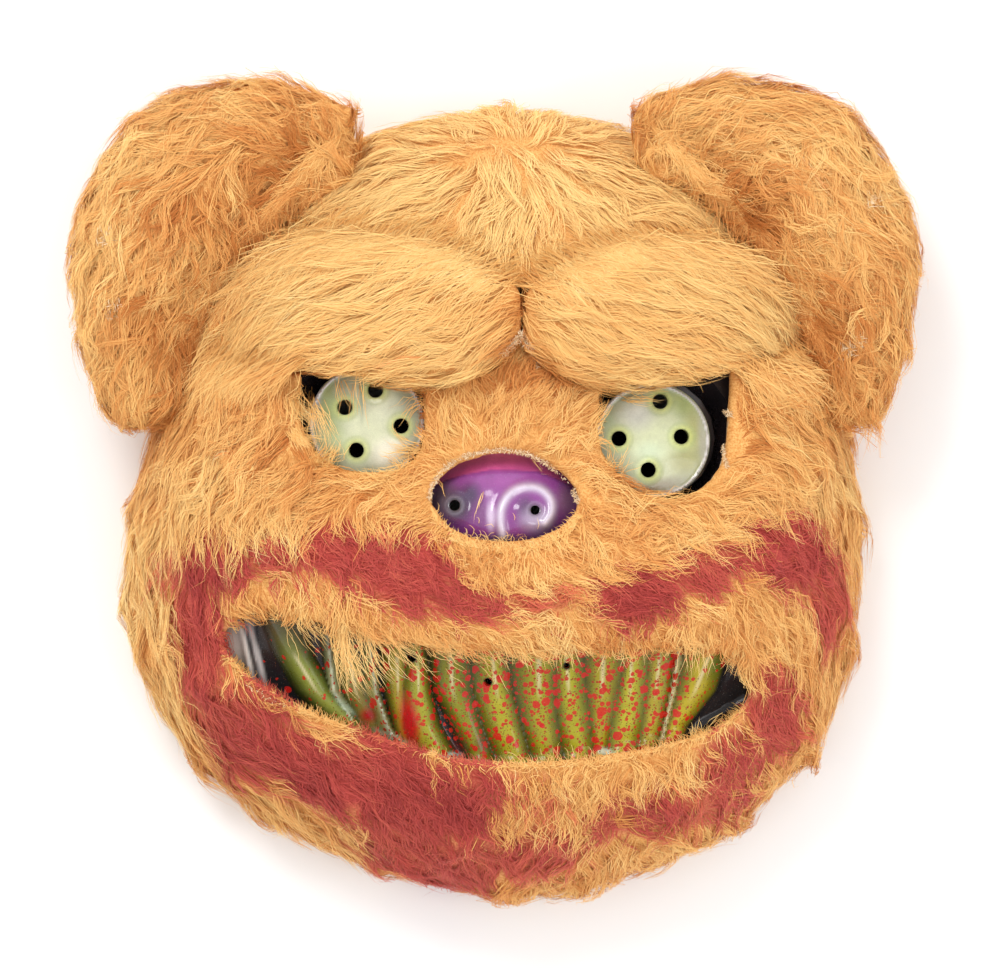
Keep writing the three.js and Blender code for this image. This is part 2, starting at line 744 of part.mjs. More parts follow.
// Outline of the band of teeth, drawn in from its edge.
function toothWindow() {
  const inset = 1 - patchOverlap / (mouthHeight / 2);
  const steps = 12;
  const line = (height) =>
    Array.from({ length: steps + 1 }, (_, i) => {
      const across = THREE.MathUtils.lerp(1 - inset, inset, i / steps) * 0.96 + 0.02;
      const point = toothPoint(across, height * inset, true);
      return new THREE.Vector2(point.x, point.y);
    });
  return [...line(-1), ...line(1).reverse()];
}

function ellipse(middle, reachX, reachY, sides = 24) {
  return Array.from({ length: sides }, (_, i) => {
    const angle = (i * 2 * Math.PI) / sides;
    return new THREE.Vector2(middle.x + Math.cos(angle) * reachX, middle.y + Math.sin(angle) * reachY);
  });
}

function faceShell() {
  const lowEdge = hemThickness + fitGap;
  const nose = onFace(noseMiddle);
  const windows = [
    ...eyes.map((eye) => ellipse(eye.middle, socketRadius - patchOverlap, socketRadius - patchOverlap)),
    ellipse(nose, noseWidth * noseReach - patchOverlap, noseHeight * noseReach - patchOverlap),
    toothWindow(),
  ];
  const dome = domeWall(shellInset, hollowInset).intersect(prism(rimOutline(0), lowEdge, topOfAll));
  const opened = dome.subtract(wasm.Manifold.union(windows.map((outline) => prism(outline, lowEdge, topOfAll))));
  const noseShares = [0, 0.25, 0.45, 0.62, 0.76, 0.86, 1];
  const raised = [
    ...eyes.map((eye) => raisedWall(eye.middle, socketRadius, socketRadius, eyeLift, eyeShares, 18)),
    raisedWall(nose, noseWidth * noseReach, noseHeight * noseReach, noseLift, () => noseShares, 18),
    toothBand(),
  ];
  const sightDrills = eyes.flatMap((eye) =>
    Array.from({ length: sightHoles }, (_, i) => {
      const angle = THREE.MathUtils.degToRad(90 - eye.twist + (i * 360) / sightHoles);
      const place = new THREE.Vector2(Math.cos(angle), Math.sin(angle)).multiplyScalar(sightHoleCircle);
      return ellipse(place.add(eye.middle), sightHoleRadius, sightHoleRadius, 6);
    }),
  );
  const nostrilDrills = nostrils.map((nostril) =>
    ellipse(inNose(nostril).add(nose), nostrilHoleRadius, nostrilHoleRadius, 6),
  );
  const mouth = onFace(mouthMiddle);
  const breathDrills = breathHoles.map(({ across, up }) => {
    const place = new THREE.Vector2(mouth.x + (across * mouthWidth) / 2, mouth.y + (up * mouthHeight) / 2);
    return ellipse(place, breathHoleRadius, breathHoleRadius, 6);
  });
  const holes = [...sightDrills, ...nostrilDrills, ...breathDrills];
  const drills = holes.map((outline) => prism(outline, lowEdge, topOfAll));
  const shell = wasm.Manifold.union([opened, ...raised]).subtract(wasm.Manifold.union(drills));
  return mainBody(shell);
}

// Head strap: an elastic band between the shell's inner walls, over the hem and flat across the table.
function headStrap() {
  const inside = filledDome(hollowInset + fitGap);
  const lining = inside.subtract(filledDome(hollowInset + fitGap + strapThickness));
  const hemTop = hemThickness + fitGap + strapThickness / 2;
  const half = (side) => {
    const wall = halfWidth * reachAt(rimReaches, side > 0 ? 0 : 180) - hollowInset;
    const hemEdge = wall - hemWidth - strapSlope;
    return [
      new THREE.Vector2(side * wall, hemTop),
      new THREE.Vector2(side * hemEdge, hemTop),
      new THREE.Vector2(side * (hemEdge - strapSlope), strapThickness / 2),
    ];
  };
  const line = [...half(-1), ...half(1).reverse()];
  const edge = (shift) => line.map((point) => point.clone().setY(point.y + shift));
  const profile = [...edge(-strapThickness / 2), ...edge(strapThickness / 2).reverse()];
  const band = new THREE.ExtrudeGeometry(new THREE.Shape(profile), { depth: strapWidth, bevelEnabled: false });
  band.rotateX(Math.PI / 2);
  band.translate(0, strapHeight + strapWidth / 2, 0);
  const reach = new THREE.BoxGeometry(headWidth, strapWidth, strapTab - hemTop);
  reach.translate(0, strapHeight, (strapTab + hemTop) / 2);
  const tabs = lining.intersect(solidOf(reach));
  return mainBody(wasm.Manifold.union([solidOf(band).intersect(inside), tabs]));
}

// Paint on the shell, by place: the teeth, eyes and nose are sprayed over the dark plastic.
function paintShell(geometry) {
  const position = geometry.getAttribute("position");
  const colours = new Float32Array(position.count * 3);
  const mouth = toothWindow();
  for (let i = 0; i < position.count; i++) {
    const place = new THREE.Vector2(position.getX(i), position.getY(i));
    const isEye = eyes.some((eye) => place.distanceTo(eye.middle) < eyeRadius + 0.5);
    const fromNose = place.clone().sub(onFace(noseMiddle));
    const isNose = Math.hypot(fromNose.x / noseWidth, fromNose.y / noseHeight) < 0.55;
    const paint = isEye ? eyeColour : isNose ? noseColour : within(mouth, place) ? toothColour : shellColour;
    new THREE.Color(paint).toArray(colours, i * 3);
  }
  geometry.setAttribute("color", new THREE.BufferAttribute(colours, 3));
  return geometry;
}

function named(name, geometry, material) {
  const mesh = new THREE.Mesh(geometry, material);
  mesh.name = name;
  return mesh;
}

const fur = () => new THREE.MeshStandardMaterial({ color: furColour, roughness: 0.9, metalness: 0 });
const paintedPlastic = new THREE.MeshStandardMaterial({ vertexColors: true, roughness: 0.25, metalness: 0 });
const elastic = new THREE.MeshStandardMaterial({ color: strapColour, roughness: 0.8, metalness: 0 });

const earSeat = wasm.Manifold.union([filledDome(-fitGap), filledDome(-fitGap, browForm)]);

const mask = new THREE.Group();
mask.add(named("face_shell", paintShell(geometryOf(faceShell())), paintedPlastic));
mask.add(named("forehead_fur", geometryOf(foreheadFur()), fur()));
mask.add(named("brow_fur_right", geometryOf(browFur("right")), fur()));
mask.add(named("brow_fur_left", geometryOf(browFur("left")), fur()));
mask.add(named("face_fur", geometryOf(faceFur()), fur()));
mask.add(named("ear_right", geometryOf(earSolid("right", earSeat)), fur()));
mask.add(named("ear_left", geometryOf(earSolid("left", earSeat)), fur()));
mask.add(named("head_strap", geometryOf(headStrap()), elastic));

// The origin is under the middle of the mask, on the surface that it lies on.
const bounds = new THREE.Box3().setFromObject(mask);
const centre = bounds.getCenter(new THREE.Vector3());
mask.position.set(-centre.x, -centre.y, -bounds.min.z);

export default mask;
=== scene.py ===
"""Furry bear mask: its painted face, its fur panels with long pile, its padded ears and its strap."""

import math

import bmesh
import bpy
import numpy as np
from mathutils import Matrix, Vector, noise
from mathutils.bvhtree import BVHTree
from mathutils.kdtree import KDTree


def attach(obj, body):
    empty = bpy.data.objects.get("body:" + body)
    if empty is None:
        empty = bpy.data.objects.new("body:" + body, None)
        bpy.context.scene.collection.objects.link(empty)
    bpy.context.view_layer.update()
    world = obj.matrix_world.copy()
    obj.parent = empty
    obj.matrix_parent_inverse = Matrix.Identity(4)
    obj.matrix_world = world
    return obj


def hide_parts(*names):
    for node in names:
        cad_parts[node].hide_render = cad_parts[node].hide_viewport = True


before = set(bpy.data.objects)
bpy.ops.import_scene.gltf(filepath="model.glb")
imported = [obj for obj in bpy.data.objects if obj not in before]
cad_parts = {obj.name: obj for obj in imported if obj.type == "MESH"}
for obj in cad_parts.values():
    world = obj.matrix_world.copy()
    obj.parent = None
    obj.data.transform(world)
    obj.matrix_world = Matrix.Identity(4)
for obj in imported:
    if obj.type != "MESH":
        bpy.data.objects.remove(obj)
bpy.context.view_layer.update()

MM = 0.001
SEED = 4127

# The picture's frame: where it looks, and how a place in it is found on the mask.
PICTURE_WIDE, PICTURE_HIGH = 1000, 968
PIXEL = MM / 3  # on the mask's middle plane
MIDDLE_COLUMN, MIDDLE_ROW = 494.9, 491.37  # the pixel over the frame's origin
CAMERA_HEIGHT = 3.0  # over the middle plane
MIDDLE_PLANE = 0.05
SENSOR = 36.0


def place_of(column, row):
    """A place on the mask, seen from above, from the pixel that shows it."""
    return (column - MIDDLE_COLUMN) * PIXEL, (MIDDLE_ROW - row) * PIXEL


def pixel_of(x, y):
    return x / PIXEL + MIDDLE_COLUMN, MIDDLE_ROW - y / PIXEL


def as_light(channel):
    """One channel of a colour, from 0 to 255 as the eye reads it, as the light that a shader counts."""
    share = channel / 255
    return share / 12.92 if channel < 11 else ((share + 0.055) / 1.055) ** 2.4


def paint(red, green, blue):
    """A colour for a shader."""
    return as_light(red), as_light(green), as_light(blue), 1.0


def smooth(low, high, value):
    """How far values have come from low to high, from 0 to 1, with a soft start and end."""
    share = np.clip((value - low) / (high - low), 0, 1)
    return share * share * (3 - 2 * share)


def table(names, rows):
    """A table's rows, each with its values under the names of its columns."""
    return [dict(zip(names.split(), row)) for row in rows]


def oval_distance(spot, column, row):
    """How far pixels lie from the middle of an oval spot, where 1 is its edge."""
    turn = math.radians(spot["turn"])
    across, down = column - spot["column"], row - spot["row"]
    along = (across * math.cos(turn) - down * math.sin(turn)) / spot["wide"]
    aside = (across * math.sin(turn) + down * math.cos(turn)) / spot["high"]
    return np.hypot(along, aside)


def inside(spot, column, row):
    """How far pixels lie within a soft oval spot: 1 in its middle, and 0 past its edge."""
    return 1 - smooth(0.1, 1.15, oval_distance(spot, column, row))


def line_distance(start, end, column, row):
    """Distance in pixels from the straight line between two places."""
    (a, b), (c, d) = start, end
    length = (c - a) ** 2 + (d - b) ** 2
    share = np.clip(((column - a) * (c - a) + (row - b) * (d - b)) / length, 0, 1)
    return np.hypot(column - a - share * (c - a), row - b - share * (d - b))


def along_rows(stops, at):
    """A value read off a short list of places."""
    places, values = zip(*stops)
    return np.interp(at, places, values)


# Small helpers for meshes

def object_from(name, mesh, material):
    """A piece of the mask from its mesh, fixed to the part's one body."""
    piece = bpy.data.objects.new(name, mesh)
    bpy.context.scene.collection.objects.link(piece)
    mesh.materials.clear()
    mesh.materials.append(material)
    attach(piece, "root")
    return piece


def evaluated(piece):
    """A plain mesh of a piece with its modifiers applied."""
    graph = bpy.context.evaluated_depsgraph_get()
    return bpy.data.meshes.new_from_object(piece.evaluated_get(graph))


def merged_copy(node):
    """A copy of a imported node's mesh with its loose triangles joined."""
    mesh = bpy.data.meshes.new(node)
    shape = bmesh.new()
    shape.from_mesh(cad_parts[node].data)
    bmesh.ops.remove_doubles(shape, verts=shape.verts, dist=1e-6)
    shape.to_mesh(mesh)
    shape.free()
    if "custom_normal" in mesh.attributes:
        mesh.attributes.remove(mesh.attributes["custom_normal"])
    return mesh


def tree_of(mesh):
    """A mesh's faces, ready to be looked up by ray or by nearness."""
    shape = bmesh.new()
    shape.from_mesh(mesh)
    tree = BVHTree.FromBMesh(shape)
    shape.free()
    return tree


def vertices_of(mesh):
    places = np.empty(len(mesh.vertices) * 3, np.float32)
    mesh.vertices.foreach_get("co", places)
    return places.reshape(-1, 3).astype(float)


def top_at(tree, x, y):
    """Height of a mesh's highest face over a place, or None."""
    hit = tree.ray_cast(Vector((x, y, 0.3)), Vector((0, 0, -1)))[0]
    return None if hit is None else hit.z


def with_modifier(mesh, kind, **settings):
    """The mesh after one modifier."""
    holder = bpy.data.objects.new("holder", mesh)
    bpy.context.scene.collection.objects.link(holder)
    modifier = holder.modifiers.new("once", kind)
    for name, value in settings.items():
        setattr(modifier, name, value)
    made = evaluated(holder)
    bpy.data.objects.remove(holder)
    return made


def set_float(mesh, name, values):
    layer = mesh.attributes.new(name, "FLOAT", "POINT")
    layer.data.foreach_set("value", np.asarray(values, np.float32))


# Stains on the pile: middle and half widths in pixels, turn in degrees, and strength, below 0 where
# the pile is clean.
STAINS = table("column row wide high turn strength", [
    (212, 558, 52, 34, 0, 1.0), (275, 548, 58, 20, -6, 0.95), (345, 548, 48, 32, 0, 1.0),
    (405, 565, 58, 46, -12, 1.05), (460, 596, 50, 24, -12, 0.85), (200, 640, 31, 74, 4, 0.95),
    (283, 590, 40, 20, 0, -0.75), (530, 598, 56, 16, 0, 0.56), (628, 592, 52, 34, 8, 1.0),
    (700, 566, 48, 26, 14, 0.9), (785, 548, 58, 44, -14, 1.05), (828, 596, 24, 52, 0, 0.85),
    (716, 612, 32, 18, 0, -0.5), (773, 704, 32, 58, -8, 0.85), (735, 748, 40, 26, 20, 0.85),
    (240, 726, 56, 54, 30, 0.9), (320, 768, 82, 38, -24, 1.05), (420, 800, 84, 44, -8, 1.05),
    (410, 852, 80, 32, -12, 0.85), (385, 752, 54, 22, -18, 1.0), (464, 775, 56, 18, -4, 0.9),
    (272, 704, 40, 18, -32, 0.6), (520, 792, 66, 26, 0, 0.5), (520, 848, 80, 28, 4, 0.8),
    (446, 876, 56, 20, 0, 0.8), (640, 806, 66, 28, 12, 0.8), (716, 788, 50, 34, 24, 0.75),
])


def stain_at(x, y):
    """How stained the pile is at places seen from above, from 0 to 1."""
    column, row = pixel_of(x, y)
    total = np.zeros_like(column)
    for stain in STAINS:
        share = stain["strength"] * (1 - smooth(0.62, 1.22, oval_distance(stain, column, row)))
        total = np.where(share < 0, total + share, np.maximum(total, share))
    return np.clip(total, 0, 1)


# Painted shade along creases, under the brows and round the eyes and the upper lip, in hollows where the pile
# also
# parts and its rusty roots show: two ends and a half width in pixels, and strength.
PARTINGS_AND_CREASE_SHADE = table("start end wide strength", [
    ((318, 148), (262, 215), 9, 0.8), ((262, 215), (224, 275), 12, 1.0), ((224, 275), (182, 370), 10, 0.7),
    ((182, 370), (160, 430), 9, 0.6), ((172, 190), (250, 235), 22, 0.55),
    ((160, 290), (192, 345), 18, 0.55), ((110, 400), (165, 450), 14, 0.45),
    ((700, 165), (760, 240), 9, 0.6), ((760, 240), (812, 350), 9, 0.6), ((812, 350), (850, 430), 9, 0.5),
    ((520, 292), (521, 338), 4, 0.8), ((520, 338), (552, 392), 9, 0.8), ((524, 268), (530, 285), 6, 0.7),
    ((300, 368), (356, 374), 9, 0.8), ((422, 398), (430, 436), 7, 0.8), ((293, 438), (312, 456), 9, 0.8),
    ((724, 385), (738, 460), 12, 0.65), ((590, 462), (620, 482), 10, 0.8), ((776, 444), (786, 456), 6, 0.6),
    ((590, 630), (670, 634), 7, 0.7), ((240, 380), (520, 388), 8, 0.35),
])


def parting_and_crease_shade_at(x, y):
    """How far the pile parts, and how much painted crease shade lies, at places seen from above, from 0 to 1.
    """
    column, row = pixel_of(x, y)
    deepest = np.zeros_like(column)
    for dark_line in PARTINGS_AND_CREASE_SHADE:
        off = line_distance(dark_line["start"], dark_line["end"], column, row)
        deepest = np.maximum(deepest, dark_line["strength"] * np.exp(-((off / dark_line["wide"]) ** 2)))
    return deepest


# Patches where the pile is lighter, or darker below 0: painted shade in the hollows beside the eyes, between
# the brows, in the hollows of the ears and along the chin's underside, painted light on the tops of the brows
# and the forehead, and the pile's own lighter and darker tones: middle and half widths in pixels, and by what
# share of the shades.
LIGHT_SHADE_AND_TONE = table("column row wide high turn strength", [
    (140, 560, 46, 90, 0, 0.26), (155, 690, 40, 60, 0, 0.28), (190, 455, 60, 34, 0, 0.14),
    (835, 470, 60, 40, 0, 0.12), (880, 170, 40, 50, 0, 0.14), (110, 200, 50, 80, 0, 0.08),
    (385, 270, 150, 46, 4, 0.12), (660, 280, 130, 44, -8, 0.10), (500, 170, 150, 70, 0, 0.10),
    (825, 300, 60, 60, 0, -0.30), (760, 205, 44, 44, 0, -0.16), (170, 270, 66, 100, 0, -0.13),
    (310, 480, 60, 26, 0, -0.16), (545, 388, 40, 26, 0, -0.30), (600, 430, 12, 34, 0, -0.24),
    (742, 415, 20, 44, 0, -0.24), (600, 862, 90, 26, 0, -0.20), (480, 884, 110, 24, 0, -0.28),
    (800, 720, 44, 60, 0, -0.26), (850, 620, 30, 60, 0, -0.14),
])


def light_shade_and_tone_at(x, y):
    """By what share of the shades the pile is lighter at places seen from above, with painted light and shade
    among its own tones.
    """
    column, row = pixel_of(x, y)
    return sum(spot["strength"] * inside(spot, column, row) for spot in LIGHT_SHADE_AND_TONE)


# Comb charts: column, row, heading and length in mm. A heading of 0 is to the picture's right and 90 is up.
FOREHEAD_COMB = [
    (530, 112, 70, 12), (470, 112, 130, 13), (600, 114, 40, 14), (420, 140, 160, 20), (385, 165, 205, 22),
    (350, 200, 225, 24), (320, 230, 232, 24), (440, 185, 215, 24), (500, 175, 255, 20), (420, 235, 205, 26),
    (480, 225, 235, 22), (520, 245, 270, 18), (545, 180, 290, 20), (600, 165, 325, 22), (650, 140, 355, 20),
    (690, 165, 335, 24), (600, 220, 330, 26), (660, 220, 338, 28), (720, 230, 330, 26), (762, 262, 312, 24),
]
RIGHT_BROW_COMB = [
    (506, 272, 195, 16), (480, 250, 188, 28), (420, 245, 184, 32), (350, 228, 178, 30), (300, 240, 188, 30),
    (250, 268, 205, 28), (214, 310, 235, 26), (492, 310, 212, 26), (430, 300, 204, 32), (360, 300, 188, 32),
    (300, 312, 195, 30), (240, 350, 232, 26), (484, 350, 215, 22), (420, 358, 202, 26), (370, 352, 194, 26),
    (320, 360, 190, 24), (270, 370, 215, 22),
]
LEFT_BROW_COMB = [
    (540, 280, 330, 16), (562, 302, 335, 22), (600, 270, 345, 28), (650, 262, 355, 30), (700, 272, 350, 30),
    (760, 272, 335, 26), (800, 302, 312, 24), (580, 340, 330, 20), (630, 332, 345, 28), (690, 330, 350, 30),
    (750, 332, 330, 26), (792, 350, 312, 22), (600, 370, 345, 22), (660, 374, 350, 24), (720, 374, 340, 22),
]
RIGHT_EAR_COMB = [
    (355, 112, 140, 18), (327, 88, 152, 20), (290, 76, 168, 20), (230, 84, 192, 22), (180, 100, 214, 22),
    (140, 130, 234, 22), (84, 200, 250, 20), (70, 280, 265, 18), (80, 350, 276, 20), (112, 420, 292, 22),
    (305, 130, 135, 22), (260, 150, 172, 24), (220, 140, 200, 26), (180, 170, 214, 26), (130, 200, 226, 24),
    (100, 260, 250, 22), (120, 330, 238, 22), (150, 380, 258, 24), (140, 430, 248, 24), (235, 195, 330, 16),
    (252, 188, 200, 16), (212, 230, 280, 18), (190, 262, 250, 20), (200, 300, 250, 22), (176, 330, 238, 22),
    (180, 372, 255, 22), (150, 300, 228, 22), (292, 182, 160, 18), (332, 142, 125, 18),
]
LEFT_EAR_COMB = [
    (650, 92, 35, 20), (700, 76, 18, 22), (760, 80, 352, 22), (820, 92, 332, 22), (865, 122, 312, 22),
    (900, 190, 292, 20), (918, 260, 280, 20), (915, 330, 265, 20), (890, 400, 255, 22), (870, 440, 268, 22),
    (680, 130, 48, 22), (720, 130, 22, 24), (770, 130, 350, 26), (820, 160, 322, 26), (860, 220, 300, 24),
    (800, 220, 330, 22), (758, 200, 15, 18), (792, 262, 318, 22), (830, 300, 308, 24), (872, 320, 288, 22),
    (842, 380, 290, 22), (860, 420, 272, 22), (700, 160, 60, 16), (740, 222, 20, 16), (800, 330, 340, 18),
]
FACE_COMB = [
    (150, 470, 250, 24), (200, 430, 240, 24), (250, 400, 250, 20), (285, 400, 262, 16), (270, 450, 235, 22),
    (200, 500, 238, 26), (150, 540, 258, 28), (135, 600, 268, 28), (140, 660, 280, 28), (160, 720, 296, 28),
    (200, 780, 310, 26), (240, 500, 228, 24), (300, 470, 218, 20), (330, 500, 205, 20), (380, 480, 190, 16),
    (190, 550, 275, 14), (230, 560, 300, 14), (270, 556, 312, 13), (300, 580, 305, 16), (345, 545, 300, 12),
    (390, 580, 312, 12), (200, 620, 282, 16), (245, 610, 295, 16), (330, 600, 285, 20), (360, 615, 296, 15),
    (410, 475, 200, 12), (432, 442, 120, 13), (442, 402, 100, 14), (450, 372, 85, 14), (500, 402, 92, 14),
    (500, 432, 84, 12), (540, 402, 62, 14), (560, 432, 32, 14), (582, 462, 12, 14), (430, 520, 215, 12),
    (600, 490, 350, 20), (640, 482, 354, 24), (700, 482, 350, 26), (740, 470, 346, 26), (760, 430, 340, 22),
    (780, 400, 332, 22), (820, 430, 316, 24), (848, 470, 300, 22), (660, 524, 350, 16), (720, 522, 342, 16),
    (780, 535, 330, 11), (830, 560, 302, 13), (850, 600, 286, 14), (864, 540, 280, 22), (600, 530, 335, 16),
    (500, 556, 272, 10), (455, 560, 300, 11), (550, 556, 320, 11), (430, 600, 318, 13), (480, 610, 332, 14),
    (540, 600, 345, 14), (600, 590, 340, 12), (650, 600, 335, 12), (700, 600, 322, 14), (750, 620, 308, 14),
    (300, 622, 262, 18), (340, 628, 276, 22), (376, 632, 304, 9), (400, 636, 314, 8), (430, 640, 322, 9),
    (480, 644, 328, 10),
    (560, 642, 290, 12), (620, 636, 282, 12), (680, 636, 278, 12), (722, 642, 292, 12), (215, 660, 275, 16),
    (232, 700, 300, 16), (262, 694, 322, 14), (300, 730, 318, 14), (350, 762, 315, 14), (400, 784, 308, 14),
    (450, 800, 292, 14), (500, 800, 278, 14), (550, 790, 268, 14), (600, 776, 262, 14), (655, 782, 290, 16),
    (700, 762, 298, 16), (742, 730, 288, 16), (772, 680, 284, 16), (800, 650, 286, 16), (250, 790, 314, 22),
    (300, 830, 308, 22), (360, 862, 298, 20), (420, 880, 285, 18), (490, 890, 272, 18), (560, 886, 264, 20),
    (620, 872, 288, 22), (690, 842, 298, 22), (750, 800, 298, 24), (800, 740, 290, 24), (842, 680, 280, 24),
    (862, 620, 278, 22),
]


class Comb:
    """A comb chart, read at any place by its nearest rows."""

    def __init__(self, rows):
        chart = np.array(rows, float)
        self.x, self.y = place_of(chart[:, 0], chart[:, 1])
        heading = np.radians(chart[:, 2])
        self.values = np.stack([np.cos(heading), np.sin(heading), chart[:, 3] * MM], axis=1)

    def read(self, x, y):
        """Heading in radians and length in metres at each place."""
        apart = (x[:, None] - self.x) ** 2 + (y[:, None] - self.y) ** 2 + (4 * MM) ** 2
        weight = apart**-2
        weight /= weight.sum(axis=1, keepdims=True)
        mixed = weight @ self.values
        return np.arctan2(mixed[:, 1], mixed[:, 0]), mixed[:, 2]


# The fur panels. Share is each panel's part of all the strands; swirl, curl and lift say how untidy its pile
# is, and level and streaks how light its shades are and how much they differ.
PANELS = {
    "forehead_fur": dict(comb=FOREHEAD_COMB, share=0.11, padded=None, round=False,
                         swirl=17, curl=0.5, lift=0.6, level=0.60, streaks=0.3),
    "brow_fur_right": dict(comb=RIGHT_BROW_COMB, share=0.11, padded=0.5, round=True,
                           swirl=13, curl=0.42, lift=0.7, level=0.54, streaks=0.6),
    "brow_fur_left": dict(comb=LEFT_BROW_COMB, share=0.105, padded=0.5, round=True,
                          swirl=13, curl=0.42, lift=0.7, level=0.54, streaks=0.6),
    "ear_right": dict(comb=RIGHT_EAR_COMB, share=0.15, padded=0.7, round=True,
                      swirl=26, curl=0.85, lift=0.9, level=0.42, streaks=1.0),
    "ear_left": dict(comb=LEFT_EAR_COMB, share=0.15, padded=0.7, round=True,
                     swirl=30, curl=0.95, lift=0.95, level=0.36, streaks=1.1),
    "face_fur": dict(comb=FACE_COMB, share=0.375, padded=None, round=False,
                     swirl=20, curl=0.9, lift=0.75, level=0.44, streaks=0.9),
}
STRANDS = 98000  # on the whole mask
MOST_STRANDS = 27000  # in one piece
STRANDS_PER_GUIDE = 11
GUIDE_STEPS = 8
STRAND_WIDTH = 0.235 * MM
THREAD_WIDTH = 0.2 * MM
STRAY_SHARE = 0.07  # of the strands, which stand off the pile
SKIN_VOXEL = 2.8 * MM
FLOOR_CLEARANCE = 0.5 * MM
HEART = Vector((0, 0, -0.03))  # a place under the head, which the backing faces and the pile turns away from
# The lower edge of the brow over the wearer's right eye, drawn up by its stitches.
BROW_EDGE = [(282, 384), (300, 362), (314, 364), (336, 370), (360, 371), (389, 377), (411, 383), (430, 392)]


# Shader helpers

class Shader:
    """One material's node tree, with its Principled BSDF."""

    def __init__(self, name, **constants):
        self.material = bpy.data.materials.new(name)
        self.material.use_nodes = True
        self.tree = self.material.node_tree
        self.tree.nodes.clear()
        self.surface = self.tree.nodes.new("ShaderNodeBsdfPrincipled")
        output = self.tree.nodes.new("ShaderNodeOutputMaterial")
        self.tree.links.new(self.surface.outputs[0], output.inputs["Surface"])
        for socket, value in constants.items():
            self.surface.inputs[socket.replace("_", " ")].default_value = value

    def node(self, kind, **settings):
        made = self.tree.nodes.new("ShaderNode" + kind)
        for name, value in settings.items():
            setattr(made, name, value)
        return made

    def put(self, socket, value):
        """Links an output to a socket, or sets a number or colour on it."""
        if isinstance(value, bpy.types.NodeSocket):
            self.tree.links.new(value, socket)
        else:
            socket.default_value = value

    def to_surface(self, name, value):
        self.put(self.surface.inputs[name], value)

    def attribute(self, name):
        return self.node("Attribute", attribute_name=name, attribute_type="GEOMETRY").outputs["Fac"]

    def place(self):
        return self.node("TexCoord").outputs["Object"]

    def noise(self, scale, detail=3.0, stretch=None, roughness=0.55):
        """Noise over the piece, with this many waves a metre."""
        texture = self.node("TexNoise")
        vector = self.place()
        if stretch:
            mapping = self.node("Mapping")
            mapping.inputs["Scale"].default_value = stretch
            self.put(mapping.inputs["Vector"], vector)
            vector = mapping.outputs[0]
        self.put(texture.inputs["Vector"], vector)
        texture.inputs["Scale"].default_value = scale
        texture.inputs["Detail"].default_value = detail
        texture.inputs["Roughness"].default_value = roughness
        return texture.outputs["Fac"]

    def ramp(self, value, *stops, smooth_steps=False):
        """A colour ramp with its stops as (place, colour)."""
        ramp = self.node("ValToRGB")
        ramp.color_ramp.interpolation = "EASE" if smooth_steps else "LINEAR"
        elements = ramp.color_ramp.elements
        for index, (at, colour) in enumerate(stops):
            element = elements[index] if index < 2 else elements.new(at)
            element.position = at
            element.color = colour
        self.put(ramp.inputs["Fac"], value)
        return ramp.outputs["Color"]

    def mix(self, factor, first, second, blend="MIX"):
        mixer = self.node("Mix", data_type="RGBA", blend_type=blend)
        self.put(mixer.inputs[0], factor)
        self.put(mixer.inputs[6], first)
        self.put(mixer.inputs[7], second)
        return mixer.outputs[2]

    def math(self, operation, first, second=0.0):
        maths = self.node("Math", operation=operation)
        self.put(maths.inputs[0], first)
        self.put(maths.inputs[1], second)
        return maths.outputs[0]

    def between(self, value, low, high, to_low=0.0, to_high=1.0):
        """A value as its share of the way from low to high."""
        mapped = self.node("MapRange")
        for index, number in enumerate((low, high, to_low, to_high)):
            mapped.inputs[index + 1].default_value = number
        self.put(mapped.inputs[0], value)
        return mapped.outputs[0]

    def grey(self, value):
        """A number as a grey colour."""
        joined = self.node("CombineColor")
        for index in range(3):
            self.put(joined.inputs[index], value)
        return joined.outputs[0]

    def spots(self, under, amount, scale, size, share, colour, cover):
        """Drops of another colour: scale is how many lie in a metre, share is how many of them show."""
        drift = self.node("TexNoise")
        drift.inputs["Scale"].default_value = scale * 1.6
        self.put(drift.inputs["Vector"], self.place())
        pushed = self.node("VectorMath", operation="MULTIPLY_ADD")
        self.put(pushed.inputs[0], drift.outputs["Color"])
        pushed.inputs[1].default_value = (0.35 / scale,) * 3
        self.put(pushed.inputs[2], self.place())
        cells = self.node("TexVoronoi")
        cells.inputs["Scale"].default_value = scale
        self.put(cells.inputs["Vector"], pushed.outputs[0])
        luck = self.node("SeparateColor")
        self.put(luck.inputs[0], cells.outputs["Color"])
        lucky = self.math("LESS_THAN", luck.outputs[0], self.math("MULTIPLY", amount, share))
        radius = self.between(luck.outputs[1], 0, 1, size * 0.35, size)
        drop = self.math("LESS_THAN", cells.outputs["Distance"], radius)
        mask = self.math("MULTIPLY", self.math("MULTIPLY", drop, lucky), cover)
        return self.mix(mask, under, colour)

    def bump(self, height, strength, distance):
        bump = self.node("Bump")
        bump.inputs["Strength"].default_value = strength
        bump.inputs["Distance"].default_value = distance
        self.put(bump.inputs["Height"], height)
        self.to_surface("Normal", bump.outputs[0])


